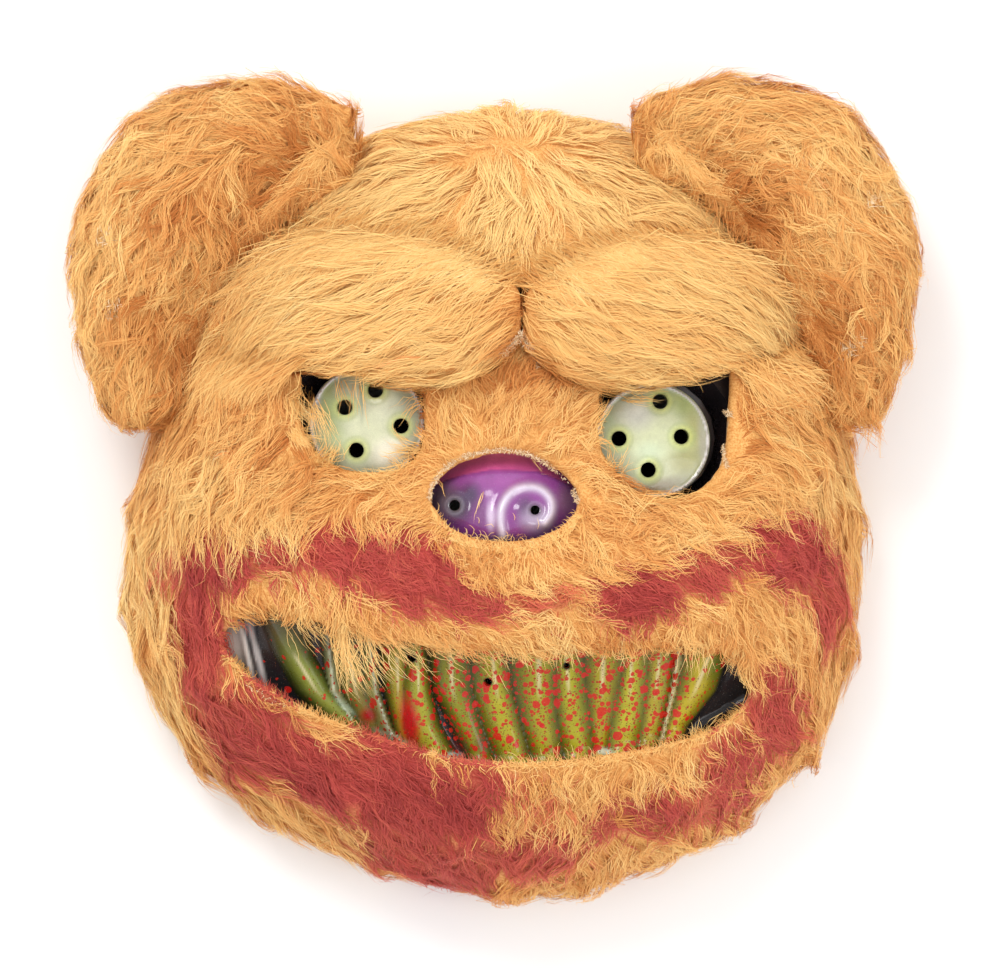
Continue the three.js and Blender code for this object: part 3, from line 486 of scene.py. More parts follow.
def strand_material():
    """The pile. Across its map lie the shades, clean and then stained, and up it the way from root to tip."""
    look = Shader("pile strands", Roughness=0.65)
    look.surface.inputs["Specular IOR Level"].default_value = 0.2
    parts = look.node("SeparateXYZ")
    look.put(parts.inputs[0], look.node("UVMap", uv_map="OFBake").outputs[0])
    shades = look.ramp(
        parts.outputs[0],
        (0.0, paint(196, 116, 54)), (0.1, paint(230, 158, 86)), (0.24, paint(248, 198, 122)),
        (0.38, paint(255, 222, 150)), (0.49, paint(255, 240, 194)),
        (0.51, paint(160, 56, 54)), (0.66, paint(198, 80, 74)), (0.8, paint(214, 104, 84)),
        (0.9, paint(232, 136, 88)), (0.99, paint(244, 170, 104)),
    )
    tones = look.ramp(parts.outputs[1], (0.0, paint(226, 204, 180)), (0.35, paint(250, 246, 240)),
                      (1.0, (1.0, 1.0, 1.0, 1.0)))
    look.to_surface("Base Color", look.mix(1.0, shades, tones, "MULTIPLY"))
    return look.material


def skin_material():
    """The dense low pile under the strands, and the knitted backing on its other side."""
    look = Shader("dense pile", Roughness=0.85)
    look.surface.inputs["Specular IOR Level"].default_value = 0.15
    fibres = look.noise(1500, 4, (1, 1, 0.5))
    clean = look.ramp(fibres, (0.3, paint(204, 132, 66)), (0.7, paint(246, 192, 118)))
    stained = look.ramp(fibres, (0.3, paint(152, 54, 50)), (0.7, paint(200, 84, 76)))
    pile = look.mix(look.attribute("stain"), clean, stained)
    knit = look.node("TexWave", wave_type="BANDS", bands_direction="X")
    knit.inputs["Scale"].default_value = 180
    knit.inputs["Distortion"].default_value = 3
    look.put(knit.inputs["Vector"], look.place())
    backing = look.ramp(knit.outputs["Fac"], (0.2, paint(196, 178, 148)), (0.8, paint(236, 224, 200)))
    look.to_surface("Base Color", look.mix(look.attribute("backing"), pile, backing))
    look.bump(fibres, 0.5, 0.7 * MM)
    return look.material


def handled_group():
    """Faint rubbed patches and dust on formed plastic, as a roughness and a share of dust."""
    group = bpy.data.node_groups.new("handled plastic", "ShaderNodeTree")
    group.interface.new_socket("Polish", in_out="INPUT", socket_type="NodeSocketFloat")
    group.interface.new_socket("Roughness", in_out="OUTPUT", socket_type="NodeSocketFloat")
    group.interface.new_socket("Dust", in_out="OUTPUT", socket_type="NodeSocketFloat")
    nodes, links = group.nodes, group.links
    source, out = nodes.new("NodeGroupInput"), nodes.new("NodeGroupOutput")
    place = nodes.new("ShaderNodeTexCoord").outputs["Object"]
    patches = nodes.new("ShaderNodeTexNoise")
    patches.inputs["Scale"].default_value = 70
    patches.inputs["Detail"].default_value = 5
    specks = nodes.new("ShaderNodeTexNoise")
    specks.inputs["Scale"].default_value = 2600
    specks.inputs["Detail"].default_value = 1
    for texture in (patches, specks):
        links.new(place, texture.inputs["Vector"])
    rubbed = nodes.new("ShaderNodeMapRange")
    rubbed.inputs["From Min"].default_value = 0.35
    rubbed.inputs["From Max"].default_value = 0.75
    rubbed.inputs["To Max"].default_value = 0.22
    links.new(patches.outputs["Fac"], rubbed.inputs["Value"])
    total = nodes.new("ShaderNodeMath")
    links.new(source.outputs["Polish"], total.inputs[0])
    links.new(rubbed.outputs[0], total.inputs[1])
    links.new(total.outputs[0], out.inputs["Roughness"])
    dust = nodes.new("ShaderNodeMapRange")
    dust.inputs["From Min"].default_value = 0.66
    dust.inputs["From Max"].default_value = 0.74
    links.new(specks.outputs["Fac"], dust.inputs["Value"])
    links.new(dust.outputs[0], out.inputs["Dust"])
    return group


def shell_material(handled):
    """Black formed plastic with a brown cast and a faint pebble from its mould."""
    look = Shader("formed plastic", Coat_Weight=0.5, Coat_Roughness=0.12)
    wear = look.node("Group", node_tree=handled)
    wear.inputs["Polish"].default_value = 0.2
    cast = look.ramp(look.noise(45, 4), (0.3, paint(26, 24, 27)), (0.7, paint(46, 37, 40)))
    dusty = look.math("MULTIPLY", wear.outputs["Dust"], 0.25)
    look.to_surface("Base Color", look.mix(dusty, cast, paint(150, 140, 136)))
    look.to_surface("Roughness", wear.outputs["Roughness"])
    look.bump(look.noise(600, 3), 0.12, 0.3 * MM)
    return look.material


def painted_material(name, handled, polish, gloss, spattered=False):
    """Airbrushed paint under a clear coat. Its colours are the attribute that the piece was given: the paint,
    with painted highlights and shade laid into it in places.
    """
    look = Shader(name, Coat_Weight=gloss, Coat_Roughness=0.07, Specular_IOR_Level=gloss / 2)
    paint_and_light = look.node("Attribute", attribute_name="paint", attribute_type="GEOMETRY").outputs["Color"]
    grain = look.between(look.noise(3200, 2), 0.25, 0.75, 0.9, 1.08)
    colour = look.mix(1.0, paint_and_light, look.grey(grain), "MULTIPLY")
    mottle = look.between(look.noise(220, 4), 0.3, 0.7, 0.9, 1.08)
    colour = look.mix(1.0, colour, look.grey(mottle), "MULTIPLY")
    if spattered:
        amount = look.attribute("spatter")
        colour = look.spots(colour, amount, 1500, 0.36, 1.0, paint(96, 58, 24), 0.85)
        colour = look.spots(colour, amount, 800, 0.38, 0.9, paint(160, 46, 22), 0.9)
        colour = look.spots(colour, amount, 460, 0.46, 0.9, paint(192, 36, 22), 0.92)
        colour = look.spots(colour, amount, 250, 0.44, 0.7, paint(196, 30, 24), 0.92)
    wear = look.node("Group", node_tree=handled)
    wear.inputs["Polish"].default_value = polish
    dusty = look.math("MULTIPLY", wear.outputs["Dust"], 0.12)
    look.to_surface("Base Color", look.mix(dusty, colour, paint(222, 218, 214)))
    look.to_surface("Roughness", wear.outputs["Roughness"])
    look.bump(look.noise(900, 2), 0.05, 0.2 * MM)
    return look.material


def thread_material():
    """Cream cotton at the raw edges of the fur's backing."""
    look = Shader("backing thread", Roughness=0.8)
    parts = look.node("SeparateXYZ")
    look.put(parts.inputs[0], look.node("UVMap", uv_map="OFBake").outputs[0])
    cream = look.ramp(parts.outputs[0], (0.0, paint(150, 100, 62)), (0.3, paint(216, 180, 132)),
                      (1.0, paint(246, 226, 188)))
    look.to_surface("Base Color", cream)
    return look.material


def strap_material():
    """Flat woven elastic: ribs along the strap, crossed by its covered rubber threads."""
    look = Shader("woven elastic", Roughness=0.8)
    ribs = look.node("TexWave", wave_type="BANDS", bands_direction="Y")
    ribs.inputs["Scale"].default_value = 260
    cross = look.node("TexWave", wave_type="BANDS", bands_direction="X")
    cross.inputs["Scale"].default_value = 420
    for wave in (ribs, cross):
        wave.inputs["Distortion"].default_value = 0.4
        look.put(wave.inputs["Vector"], look.place())
    weave = look.math("MULTIPLY", ribs.outputs["Fac"], look.between(cross.outputs["Fac"], 0, 1, 0.5, 1))
    look.to_surface("Base Color", look.ramp(weave, (0.0, paint(22, 21, 24)), (1.0, paint(66, 63, 68))))
    look.bump(weave, 0.8, 0.4 * MM)
    return look.material


# The formed face. Its eyes, nose and teeth are finer surfaces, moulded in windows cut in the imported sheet.

SHEET_THICKNESS = 1.4 * MM
EYE_RADIUS = 19.2 * MM
EYE_WINDOW_RADIUS = 17.5 * MM
EYE_BULGE = 2.4 * MM
SIGHT_HOLE_RADIUS = 2.5 * MM
SIGHT_DISH_RADIUS = 4.2 * MM
EYES = [
    dict(name="eye_right", column=368, row=424,
         holes=[(376.5, 391), (346, 408), (402, 426.5), (357.5, 450.5)]),
    dict(name="eye_left", column=651, row=441,
         holes=[(659, 402), (618, 439), (680, 437), (647, 470)]),
]
EYE_PITCH = 0.56 * MM  # of the moulded surfaces' grids
NOSE_PITCH = 0.55 * MM
TOOTH_PITCH = 0.62 * MM
OPENING_PITCH = 1.5 * MM
WINDOW_PITCH = 2 * MM
MOUTH_BOX = place_of(204, 790), place_of(776, 590)
NOSE_BOX = place_of(416, 556), place_of(590, 436)

# Spots of airbrushed paint, and in places painted highlights and shade: a middle, half widths and a turn in
# pixels and degrees, a colour, and how well it covers.
SPOT_COLUMNS = "column row wide high turn colour cover"
EYE_PAINT_AND_LIGHT = {
    "eye_right": table(SPOT_COLUMNS, [
        (368, 424, 90, 90, 0, (206, 210, 176), 1.0), (330, 406, 16, 46, 8, (146, 158, 96), 0.85),
        (334, 440, 20, 24, 0, (178, 192, 140), 0.7), (327, 386, 9, 14, 20, (136, 140, 70), 0.7),
        (363, 396, 3.2, 34, 0, (112, 132, 112), 0.6), (392, 452, 26, 20, 20, (250, 246, 226), 0.9),
        (385, 408, 20, 22, 0, (218, 222, 192), 0.8), (316, 404, 7, 34, -8, (196, 190, 198), 0.8),
    ]),
    "eye_left": table(SPOT_COLUMNS, [
        (655, 438, 90, 90, 0, (206, 212, 172), 1.0), (636, 414, 24, 22, 0, (208, 208, 196), 0.9),
        (684, 404, 20, 22, 0, (156, 168, 96), 0.9), (692, 432, 14, 34, 0, (164, 162, 96), 0.85),
        (684, 462, 22, 20, 0, (156, 154, 92), 0.85), (702, 444, 7, 40, 4, (168, 164, 144), 0.85),
        (648, 452, 20, 14, 0, (206, 222, 190), 0.7), (604, 420, 12, 18, 0, (160, 178, 132), 0.7),
        # Painted shade across the disc's lower part, and a painted highlight on the rim below it.
        (656, 487, 36, 10, 14, (140, 128, 104), 0.85), (668, 494, 20, 6, 24, (196, 190, 186), 0.8),
    ]),
}
NOSE_SPRAY = table(SPOT_COLUMNS, [
    (500, 495, 200, 120, 0, (136, 66, 140), 1.0), (505, 480, 50, 16, 0, (158, 84, 154), 0.8),
    (442, 500, 24, 28, 0, (104, 90, 104), 0.95), (457, 506, 24, 24, 0, (52, 46, 56), 1.0),
    (471, 494, 14, 16, 0, (70, 58, 84), 0.85), (482, 512, 9, 18, 0, (124, 84, 124), 0.7),
    (566, 500, 16, 22, 0, (126, 90, 118), 0.9), (524, 508, 12, 18, 0, (96, 70, 104), 0.85),
    (536, 520, 22, 17, 0, (176, 160, 184), 0.9), (491, 516, 6, 20, 2, (222, 204, 228), 0.85),
    (500, 541, 70, 8, 0, (112, 96, 116), 0.7),
])
NOSE_LEDGE = [(425, 492), (447, 480), (464, 475), (490, 470.5), (515, 470.5), (539, 472), (557, 479),
              (571, 486), (588, 498)]


def rounded(points):
    """A line through some points with its corners cut off."""
    line = np.array(points, float)
    for _ in range(3):
        cut = np.stack([line[:-1] * 0.75 + line[1:] * 0.25, line[:-1] * 0.25 + line[1:] * 0.75], axis=1)
        line = np.concatenate([line[:1], cut.reshape(-1, 2), line[-1:]])
    return line


# The fold round the nostril on the picture's right, raised, with a painted highlight laid along it.
CRESCENT = rounded([(503, 536), (500, 522), (501, 506), (510, 492), (524, 486), (541, 488), (551, 499),
                    (552, 512), (545, 523)])
NOSTRILS = table("column row hole bowl deep", [
    (455, 505, 5.4, 16, 1.3), (534.6, 509.7, 4.6, 15, 1.2),
])

# The teeth from the wearer's right: their left edge, crest and right edge at five rows, how far they rise
# over the valleys in mm, and whether the crest is a crisp fold. Colours are those of the crest; the pale ones
# on the crisp crests are partly painted highlights.
TOOTH_ROWS = (620, 655, 690, 725, 760)
TEETH = [
    dict(left=(242, 243, 247, 252, 256), crest=(247, 248, 252, 258, 262), right=(251, 252, 256, 262, 266),
         rise=1.8, crisp=True, colour=(156, 146, 132)),
    dict(left=(250, 251, 256, 262, 266), crest=(255, 256, 261, 268, 272), right=(260, 261, 267, 274, 278),
         rise=2.2, crisp=True, colour=(180, 170, 160)),
    dict(left=(266, 281, 300, 329, 362), crest=(281, 297, 318, 352, 386), right=(304, 312, 331, 364, 400),
         rise=5.6, crisp=False, colour=(134, 142, 60)),
    dict(left=(316, 324, 327, 348, 368), crest=(328, 331.5, 335, 357, 380), right=(337, 337, 343, 366, 390),
         rise=4.8, crisp=True, colour=(176, 174, 128)),
    dict(left=(338, 338, 345, 360, 374), crest=(350, 351, 357, 372, 384), right=(361, 361, 366, 380, 394),
         rise=2.4, crisp=False, colour=(126, 114, 50)),
    dict(left=(358, 360, 362, 370, 392), crest=(371, 373, 378, 389, 409), right=(376, 378, 381, 394, 416),
         rise=5.6, crisp=True, colour=(156, 150, 84)),
    dict(left=(383, 385, 389, 397, 408), crest=(397, 398, 399, 404, 412), right=(409, 409, 404, 409, 416),
         rise=3.2, crisp=False, colour=(160, 144, 32)),
    dict(left=(409, 411, 404, 399, 410), crest=(416, 418, 420, 424, 442), right=(423, 424, 428, 438, 458),
         rise=6.0, crisp=False, colour=(160, 158, 46)),
    dict(left=(430, 432, 437, 456, 472), crest=(450, 451, 453, 468, 482), right=(469, 470, 471, 480, 494),
         rise=4.2, crisp=False, colour=(134, 132, 32)),
    dict(left=(472, 473, 474, 484, 498), crest=(492, 493, 497, 506, 518), right=(502, 503.5, 510, 519, 529),
         rise=4.0, crisp=False, colour=(168, 160, 38)),
    dict(left=(505, 507, 515, 524, 534), crest=(538, 539, 539, 542, 548), right=(556, 556, 553, 556, 562),
         rise=2.9, crisp=False, colour=(160, 152, 36)),
    dict(left=(556, 557, 556, 560, 566), crest=(565, 565, 568, 573, 580), right=(581, 581, 585, 589, 594),
         rise=2.8, crisp=False, colour=(166, 160, 36)),
    dict(left=(584, 584, 587, 592, 596), crest=(602, 602, 601, 600, 600), right=(630, 626, 618, 609, 602),
         rise=2.6, crisp=False, colour=(164, 150, 34)),
    dict(left=(633, 627, 619, 611, 605), crest=(632, 630, 629, 625, 620), right=(648, 647, 645, 641, 634),
         rise=3.0, crisp=False, colour=(178, 170, 44)),
    dict(left=(649, 648, 646, 642, 636), crest=(659, 658, 655, 650, 644), right=(672, 672, 668, 660, 652),
         rise=2.4, crisp=False, colour=(170, 154, 46)),
    dict(left=(671, 672, 667, 660, 652), crest=(678, 676.5, 671.5, 664, 656), right=(685, 684, 678, 670, 662),
         rise=3.6, crisp=True, colour=(206, 190, 124)),
    dict(left=(682, 682, 676, 667, 660), crest=(712, 708, 694, 674, 664), right=(728, 725, 714, 686, 672),
         rise=3.4, crisp=False, colour=(178, 160, 34)),
]
# The valleys between the teeth, by column, in mm over the deepest one.
VALLEY_FLOOR = [(215, 3.6), (244, 2.6), (262, 0.6), (290, 0), (400, 0.5), (440, 1.2), (470, 1.5), (500, 2.3),
                (650, 2.4), (690, 1.6), (722, 0), (735, 0.4), (765, 3.0)]
DEEPEST_VALLEY = 6.0 * MM
# The lower edge of the band of teeth, by column.
BAND_FOOT = [(225, 690), (300, 722), (390, 748), (470, 757), (540, 759), (610, 752), (690, 731), (745, 700)]
BREATH_HOLES = [(412.7, 656, 4.2), (488, 680, 4.0), (566, 664, 3.2)]  # column, row, radius in pixels
TOOTH_PAINT_AND_HIGHLIGHTS = table(SPOT_COLUMNS, [
    (410, 722, 13, 38, 8, (182, 20, 26), 1.0), (411, 718, 11, 30, 8, (182, 20, 26), 0.9),
    (369, 714, 11, 10, 0, (166, 26, 30), 1.0), (458, 744, 11, 9, 0, (96, 34, 38), 0.6),
    # The thin pale spots at columns 452, 605, 392 and 346 are painted highlights on the edges of the teeth and
    # the foot of the band.
    (482, 742, 10, 12, 0, (92, 30, 34), 0.6), (452, 753, 11, 4, 0, (214, 228, 214), 0.8),
    (605, 750, 11, 5, -10, (226, 234, 216), 0.85), (392, 736, 24, 6, -24, (190, 216, 188), 0.75),
    (346, 705, 17, 4, -42, (186, 208, 180), 0.7), (714, 664, 8, 20, -20, (72, 104, 40), 0.7),
])
END_HIGHLIGHTS = table(SPOT_COLUMNS, [  # painted highlights on the bare black plastic beside the first teeth
    (234, 646, 15, 40, 10, (196, 186, 178), 0.9), (248.5, 652, 3.6, 50, 13, (236, 228, 220), 0.95),
    (259, 656, 4.2, 50, 14, (220, 212, 208), 0.9), (253.5, 654, 3, 44, 13, (60, 54, 54), 0.8),
])


def blended(colours, colour, cover):
    """Colours with one more laid over them, by how well it covers each."""
    cover = cover[:, None]
    return colours * (1 - cover) + np.array(paint(*colour)[:3]) * cover


def spray_paint_and_light(colours, column, row, spots):
    """Lays soft spots over colours, in their order: airbrushed paint, and in places painted highlights and
    shade.
    """
    for spot in spots:
        colours = blended(colours, spot["colour"], inside(spot, column, row) * spot["cover"])
    return colours


def near_line(points, column, row):
    """Distance in pixels from a line through some points."""
    nearest = np.full_like(column, 1e9)
    for start, end in zip(points, points[1:]):
        nearest = np.minimum(nearest, line_distance(start, end, column, row))
    return nearest


class Relief:
    """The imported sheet's top over a box, with its holes filled and its steps smoothed, read at any place."""

    def __init__(self, tree, low, high, pitch, blur):
        self.low, self.pitch = low, pitch
        xs = np.arange(low[0], high[0] + pitch, pitch)
        ys = np.arange(low[1], high[1] + pitch, pitch)
        heights = np.array([[top_at(tree, x, y) or np.nan for x in xs] for y in ys])
        while np.isnan(heights).any():
            around = np.stack([np.roll(heights, shift, axis) for axis in (0, 1) for shift in (-1, 1)])
            known = ~np.isnan(around)
            mean = np.where(known, around, 0).sum(axis=0) / np.maximum(known.sum(axis=0), 1)
            heights = np.where(np.isnan(heights) & known.any(axis=0), mean, heights)
        reach = int(3 * blur / pitch)
        bell = np.exp(-0.5 * (np.arange(-reach, reach + 1) * pitch / blur) ** 2)
        bell /= bell.sum()
        padded = np.pad(heights, reach, mode="edge")
        padded = np.apply_along_axis(np.convolve, 0, padded, bell, mode="valid")
        self.heights = np.apply_along_axis(np.convolve, 1, padded, bell, mode="valid")

    def at(self, x, y):
        rows, columns = self.heights.shape
        across = np.clip((x - self.low[0]) / self.pitch, 0, columns - 1.001)
        up = np.clip((y - self.low[1]) / self.pitch, 0, rows - 1.001)
        i, j = across.astype(int), up.astype(int)
        u, v = across - i, up - j
        near = self.heights[j, i] * (1 - u) + self.heights[j, i + 1] * u
        far = self.heights[j + 1, i] * (1 - u) + self.heights[j + 1, i + 1] * u
        return near * (1 - v) + far * v


def bowl_terms(x, y):
    """The terms of a quadratic bowl at places, taken in units of a tenth of a metre."""
    x, y = x * 10, y * 10
    return np.stack([np.ones_like(x), x, y, x * x, x * y, y * y], axis=1)


def upper_bowl(x, y, z, below):
    """A smooth bowl through the highest of some places. Those under it count for less."""
    terms = bowl_terms(x, y)
    weight = np.ones_like(z)
    for _ in range(14):
        numbers = np.linalg.lstsq(terms * weight[:, None], z * weight, rcond=None)[0]
        weight = np.where(z > terms @ numbers, 1.0, below)
    return numbers


def open_places(fur, low, high, pitch):
    """Where no fur lies over a grid of places, within the oval that fills their box."""
    xs = np.arange(low[0], high[0] + pitch, pitch)
    ys = np.arange(low[1], high[1] + pitch, pitch)
    across = (xs - (low[0] + high[0]) / 2) / (high[0] - low[0]) * 2
    up = (ys - (low[1] + high[1]) / 2) / (high[1] - low[1]) * 2
    oval = np.hypot(across[None, :], up[:, None]) < 1.08
    return xs, ys, oval & np.array([[top_at(fur, x, y) is None for x in xs] for y in ys])


def grown(mask, cells):
    """A mask with its true region made wider."""
    reach = range(-cells, cells + 1)
    wide = np.zeros_like(mask)
    padded = np.pad(mask, cells)
    for i in reach:
        for j in reach:
            if i * i + j * j <= cells * cells:
                top, left = cells + i, cells + j
                wide |= padded[top:top + mask.shape[0], left:left + mask.shape[1]]
    return wide


def grid_shape(low, high, pitch):
    """A flat grid of square faces over a box, seen from above."""
    across, up = (max(1, round((high[i] - low[i]) / pitch)) for i in (0, 1))
    shape = bmesh.new()
    bmesh.ops.create_grid(shape, x_segments=across, y_segments=up, size=1)
    place = Matrix.Translation(((low[0] + high[0]) / 2, (low[1] + high[1]) / 2, 0))
    size = Matrix.Diagonal((across * pitch / 2, up * pitch / 2, 1, 1))
    bmesh.ops.transform(shape, matrix=place @ size, verts=shape.verts)
    return shape


def moulded(name, shape, kept, height, rims):
    """A sheet from a flat grid: cut to what is kept, with round rims, raised, and given its wall."""
    middles = np.array([face.calc_center_median()[:2] for face in shape.faces])
    stays = kept(middles[:, 0], middles[:, 1])
    gone = [face for face, stay in zip(shape.faces, stays) if not stay]
    bmesh.ops.delete(shape, geom=gone, context="FACES")
    places = np.array([vertex.co[:2] for vertex in shape.verts])
    edge = np.array([vertex.is_boundary for vertex in shape.verts])
    for x, y, radius in rims:
        off = places - (x, y)
        far = np.linalg.norm(off, axis=1)
        close = edge & (np.abs(far - radius) < 0.6 * MM)
        places[close] = (x, y) + off[close] * (radius / far[close])[:, None]
    heights = height(places[:, 0], places[:, 1])
    for vertex, (x, y), z in zip(shape.verts, places, heights):
        vertex.co = (x, y, z)
    bmesh.ops.recalc_face_normals(shape, faces=shape.faces)
    if sum(face.normal.z for face in shape.faces) < 0:
        bmesh.ops.reverse_faces(shape, faces=shape.faces)
    bmesh.ops.solidify(shape, geom=shape.faces, thickness=SHEET_THICKNESS)
    mesh = bpy.data.meshes.new(name)
    shape.to_mesh(mesh)
    shape.free()
    mesh.polygons.foreach_set("use_smooth", [True] * len(mesh.polygons))
    mesh.set_sharp_from_angle(angle=math.radians(50))
    return mesh


def set_paint(mesh, colours):
    """Keeps a colour for each point of a mesh, as its paint reads it."""
    layer = mesh.attributes.new("paint", "FLOAT_COLOR", "POINT")
    values = np.concatenate([colours, np.ones((len(colours), 1))], axis=1)
    layer.data.foreach_set("color", values.astype(np.float32).ravel())


def eye_sheet(facts, shell):
    """One bulging eye with its bead rim and its four sight holes."""
    x, y = place_of(facts["column"], facts["row"])
    turns = np.linspace(0, 2 * math.pi, 48, endpoint=False)
    ring = np.linspace(0.1, 0.93, 8)[:, None] * EYE_RADIUS
    xs, ys = (x + ring * np.cos(turns)).ravel(), (y + ring * np.sin(turns)).ravel()
    zs = np.array([top_at(shell, a, b) or 0.0 for a, b in zip(xs, ys)])
    seen = zs > np.median(zs) - 6 * MM
    numbers = np.linalg.lstsq(bowl_terms(xs, ys)[seen][:, :3], zs[seen], rcond=None)[0]
    bulge = EYE_BULGE * (1 - (np.hypot(xs - x, ys - y) / EYE_RADIUS) ** 2)
    over = (zs - bowl_terms(xs, ys)[:, :3] @ numbers - bulge)[seen]
    rise = max(0.0, over.max()) + 0.25 * MM
    holes = [place_of(column, row) for column, row in facts["holes"]]

    def height(px, py):
        out = np.hypot(px - x, py - y) / EYE_RADIUS
        bead = 0.9 * MM * np.exp(-(((out - 0.965) / 0.025) ** 2))
        dish = sum(0.35 * MM * np.exp(-((np.hypot(px - a, py - b) / SIGHT_DISH_RADIUS) ** 4))
                   for a, b in holes)
        return bowl_terms(px, py)[:, :3] @ numbers + EYE_BULGE * (1 - out**2) + rise + bead - dish

    def kept(px, py):
        clear = np.hypot(px - x, py - y) < EYE_RADIUS
        for a, b in holes:
            clear &= np.hypot(px - a, py - b) > SIGHT_HOLE_RADIUS
        return clear

    half = 20 * MM
    shape = grid_shape((x - half, y - half), (x + half, y + half), EYE_PITCH)
    rims = [(x, y, EYE_RADIUS)] + [(a, b, SIGHT_HOLE_RADIUS) for a, b in holes]
    mesh = moulded(facts["name"], shape, kept, height, rims)
    places = vertices_of(mesh)
    column, row = pixel_of(places[:, 0], places[:, 1])
    colours = spray_paint_and_light(np.zeros((len(places), 3)), column, row, EYE_PAINT_AND_LIGHT[facts["name"]])
    for a, b in facts["holes"]:
        away = np.hypot(column - a, row - b)
        colours = blended(colours, (196, 206, 112), np.exp(-(((away - 8) / 4.5) ** 2)) * 0.7)
        colours = blended(colours, (150, 168, 112), np.exp(-(((away - 13.5) / 1.6) ** 2)) * 0.3)
        # Painted shade: a dark ring at each sight hole's edge.
        colours = blended(colours, (52, 56, 40), (1 - smooth(7.0, 8.2, away)) * 0.85)
    out = np.hypot(places[:, 0] - x, places[:, 1] - y) / EYE_RADIUS
    # Painted highlight: a light ring along the bead rim.
    colours = blended(colours, (214, 210, 206), smooth(0.93, 0.95, out) * (1 - smooth(0.985, 1.0, out)))
    set_paint(mesh, colours)
    return mesh


def clear_of(opening, margin, holes):
    """A test of which places lie in an opening of the fur or near it, and in none of a sheet's holes."""
    xs, ys, open_grid = opening
    wide = grown(open_grid, margin)

    def kept(px, py):
        i = np.clip(np.round((px - xs[0]) / OPENING_PITCH).astype(int), 0, len(xs) - 1)
        j = np.clip(np.round((py - ys[0]) / OPENING_PITCH).astype(int), 0, len(ys) - 1)
        clear = wide[j, i]
        for x, y, radius in holes:
            clear = clear & (np.hypot(px - x, py - y) > radius)
        return clear

    return kept


def nose_sheet(shell, fur):
    """The nose, with its ledge, its raised nostril and the sunk one."""
    low, high = NOSE_BOX
    margin = 2 * MM
    relief = Relief(shell, (low[0] - margin, low[1] - margin), (high[0] + margin, high[1] + margin),
                    1.0 * MM, 1.6 * MM)
    holes = [place_of(n["column"], n["row"]) + (n["hole"] * PIXEL,) for n in NOSTRILS]
    kept = clear_of(open_places(fur, low, high, OPENING_PITCH), 2, holes)

    def height(px, py):
        column, row = pixel_of(px, py)
        ledge = along_rows(NOSE_LEDGE, column)
        up = relief.at(px, py) - 0.9 * MM * smooth(-1.5, 4.0, ledge - row)
        up = up - 0.03 * MM * np.clip(ledge - row, 0, 30)
        up += 0.25 * MM * np.exp(-(((row - ledge - 2.5) / 3.0) ** 2))
        up += 1.6 * MM * np.exp(-((near_line(CRESCENT, column, row) / 5.0) ** 2))
        for nostril in NOSTRILS:
            away = np.hypot(column - nostril["column"], row - nostril["row"])
            up -= nostril["deep"] * MM * (1 - smooth(nostril["hole"], nostril["bowl"], away))
            up += 0.3 * MM * np.exp(-(((away - nostril["hole"] - 2.0) / 1.5) ** 2))
        return up

    mesh = moulded("nose", grid_shape(low, high, NOSE_PITCH), kept, height, holes)
    places = vertices_of(mesh)
    column, row = pixel_of(places[:, 0], places[:, 1])
    colours = spray_paint_and_light(np.zeros((len(places), 3)), column, row, NOSE_SPRAY)
    over_ledge = along_rows(NOSE_LEDGE, column) - row
    above = smooth(-0.6, 1.2, over_ledge)[:, None]
    pink = blended(np.array(paint(220, 100, 162)[:3]), (240, 124, 150), smooth(2, 18, over_ledge))
    colours = colours * (1 - above) + pink * above
    # Painted highlight: a light band along the crescent fold.
    fold = np.exp(-((near_line(CRESCENT, column, row) / 4.2) ** 2))
    colours = blended(colours, (232, 226, 238), fold * 0.75)
    for nostril in NOSTRILS:
        away = np.hypot(column - nostril["column"], row - nostril["row"])
        off_rim = away - nostril["hole"]
        # Painted highlight on each nostril's raised lip, and painted shade: a dark ring at the hole's edge.
        colours = blended(colours, (160, 150, 166), np.exp(-(((off_rim - 3.0) / 1.6) ** 2)) * 0.35)
        colours = blended(colours, (70, 60, 66), (1 - smooth(0.3, 3, off_rim)) * 0.7)
    set_paint(mesh, colours)
    return mesh


def tooth_heights(column, row):
    """Height over the deepest valley in mm, share of the way up a tooth, its number, and how crisp it is."""
    best = along_rows(VALLEY_FLOOR, column)
    floor = best.copy()
    share, owner, crisp = np.zeros_like(column), np.full(column.shape, -1), np.zeros_like(column)
    for number, tooth in enumerate(TEETH):
        left, crest, right = (np.interp(row, TOOTH_ROWS, tooth[side]) for side in ("left", "crest", "right"))
        spread = 0.0 if tooth["crisp"] else 5.0
        left = np.minimum(left, crest - 2.5) - spread
        right = right + spread
        up = np.where(column < crest, (column - left) / (crest - left), (right - column) / (right - crest))
        up = np.clip(up, 0, 1)
        form = up**1.35 if tooth["crisp"] else 1 - (1 - up) ** 2
        tall = np.where(up > 0, floor + tooth["rise"] * form, 0)
        higher = tall > best
        best = np.where(higher, tall, best)
        share = np.where(higher, up, share)
        owner = np.where(higher, number, owner)
        crisp = np.where(higher, float(tooth["crisp"]), crisp)
    foot = row - along_rows(BAND_FOOT, column)
    best = best + 1.8 * np.exp(-(((foot - 2) / 6.0) ** 2)) * (column > 330)
    return best, share, owner, crisp


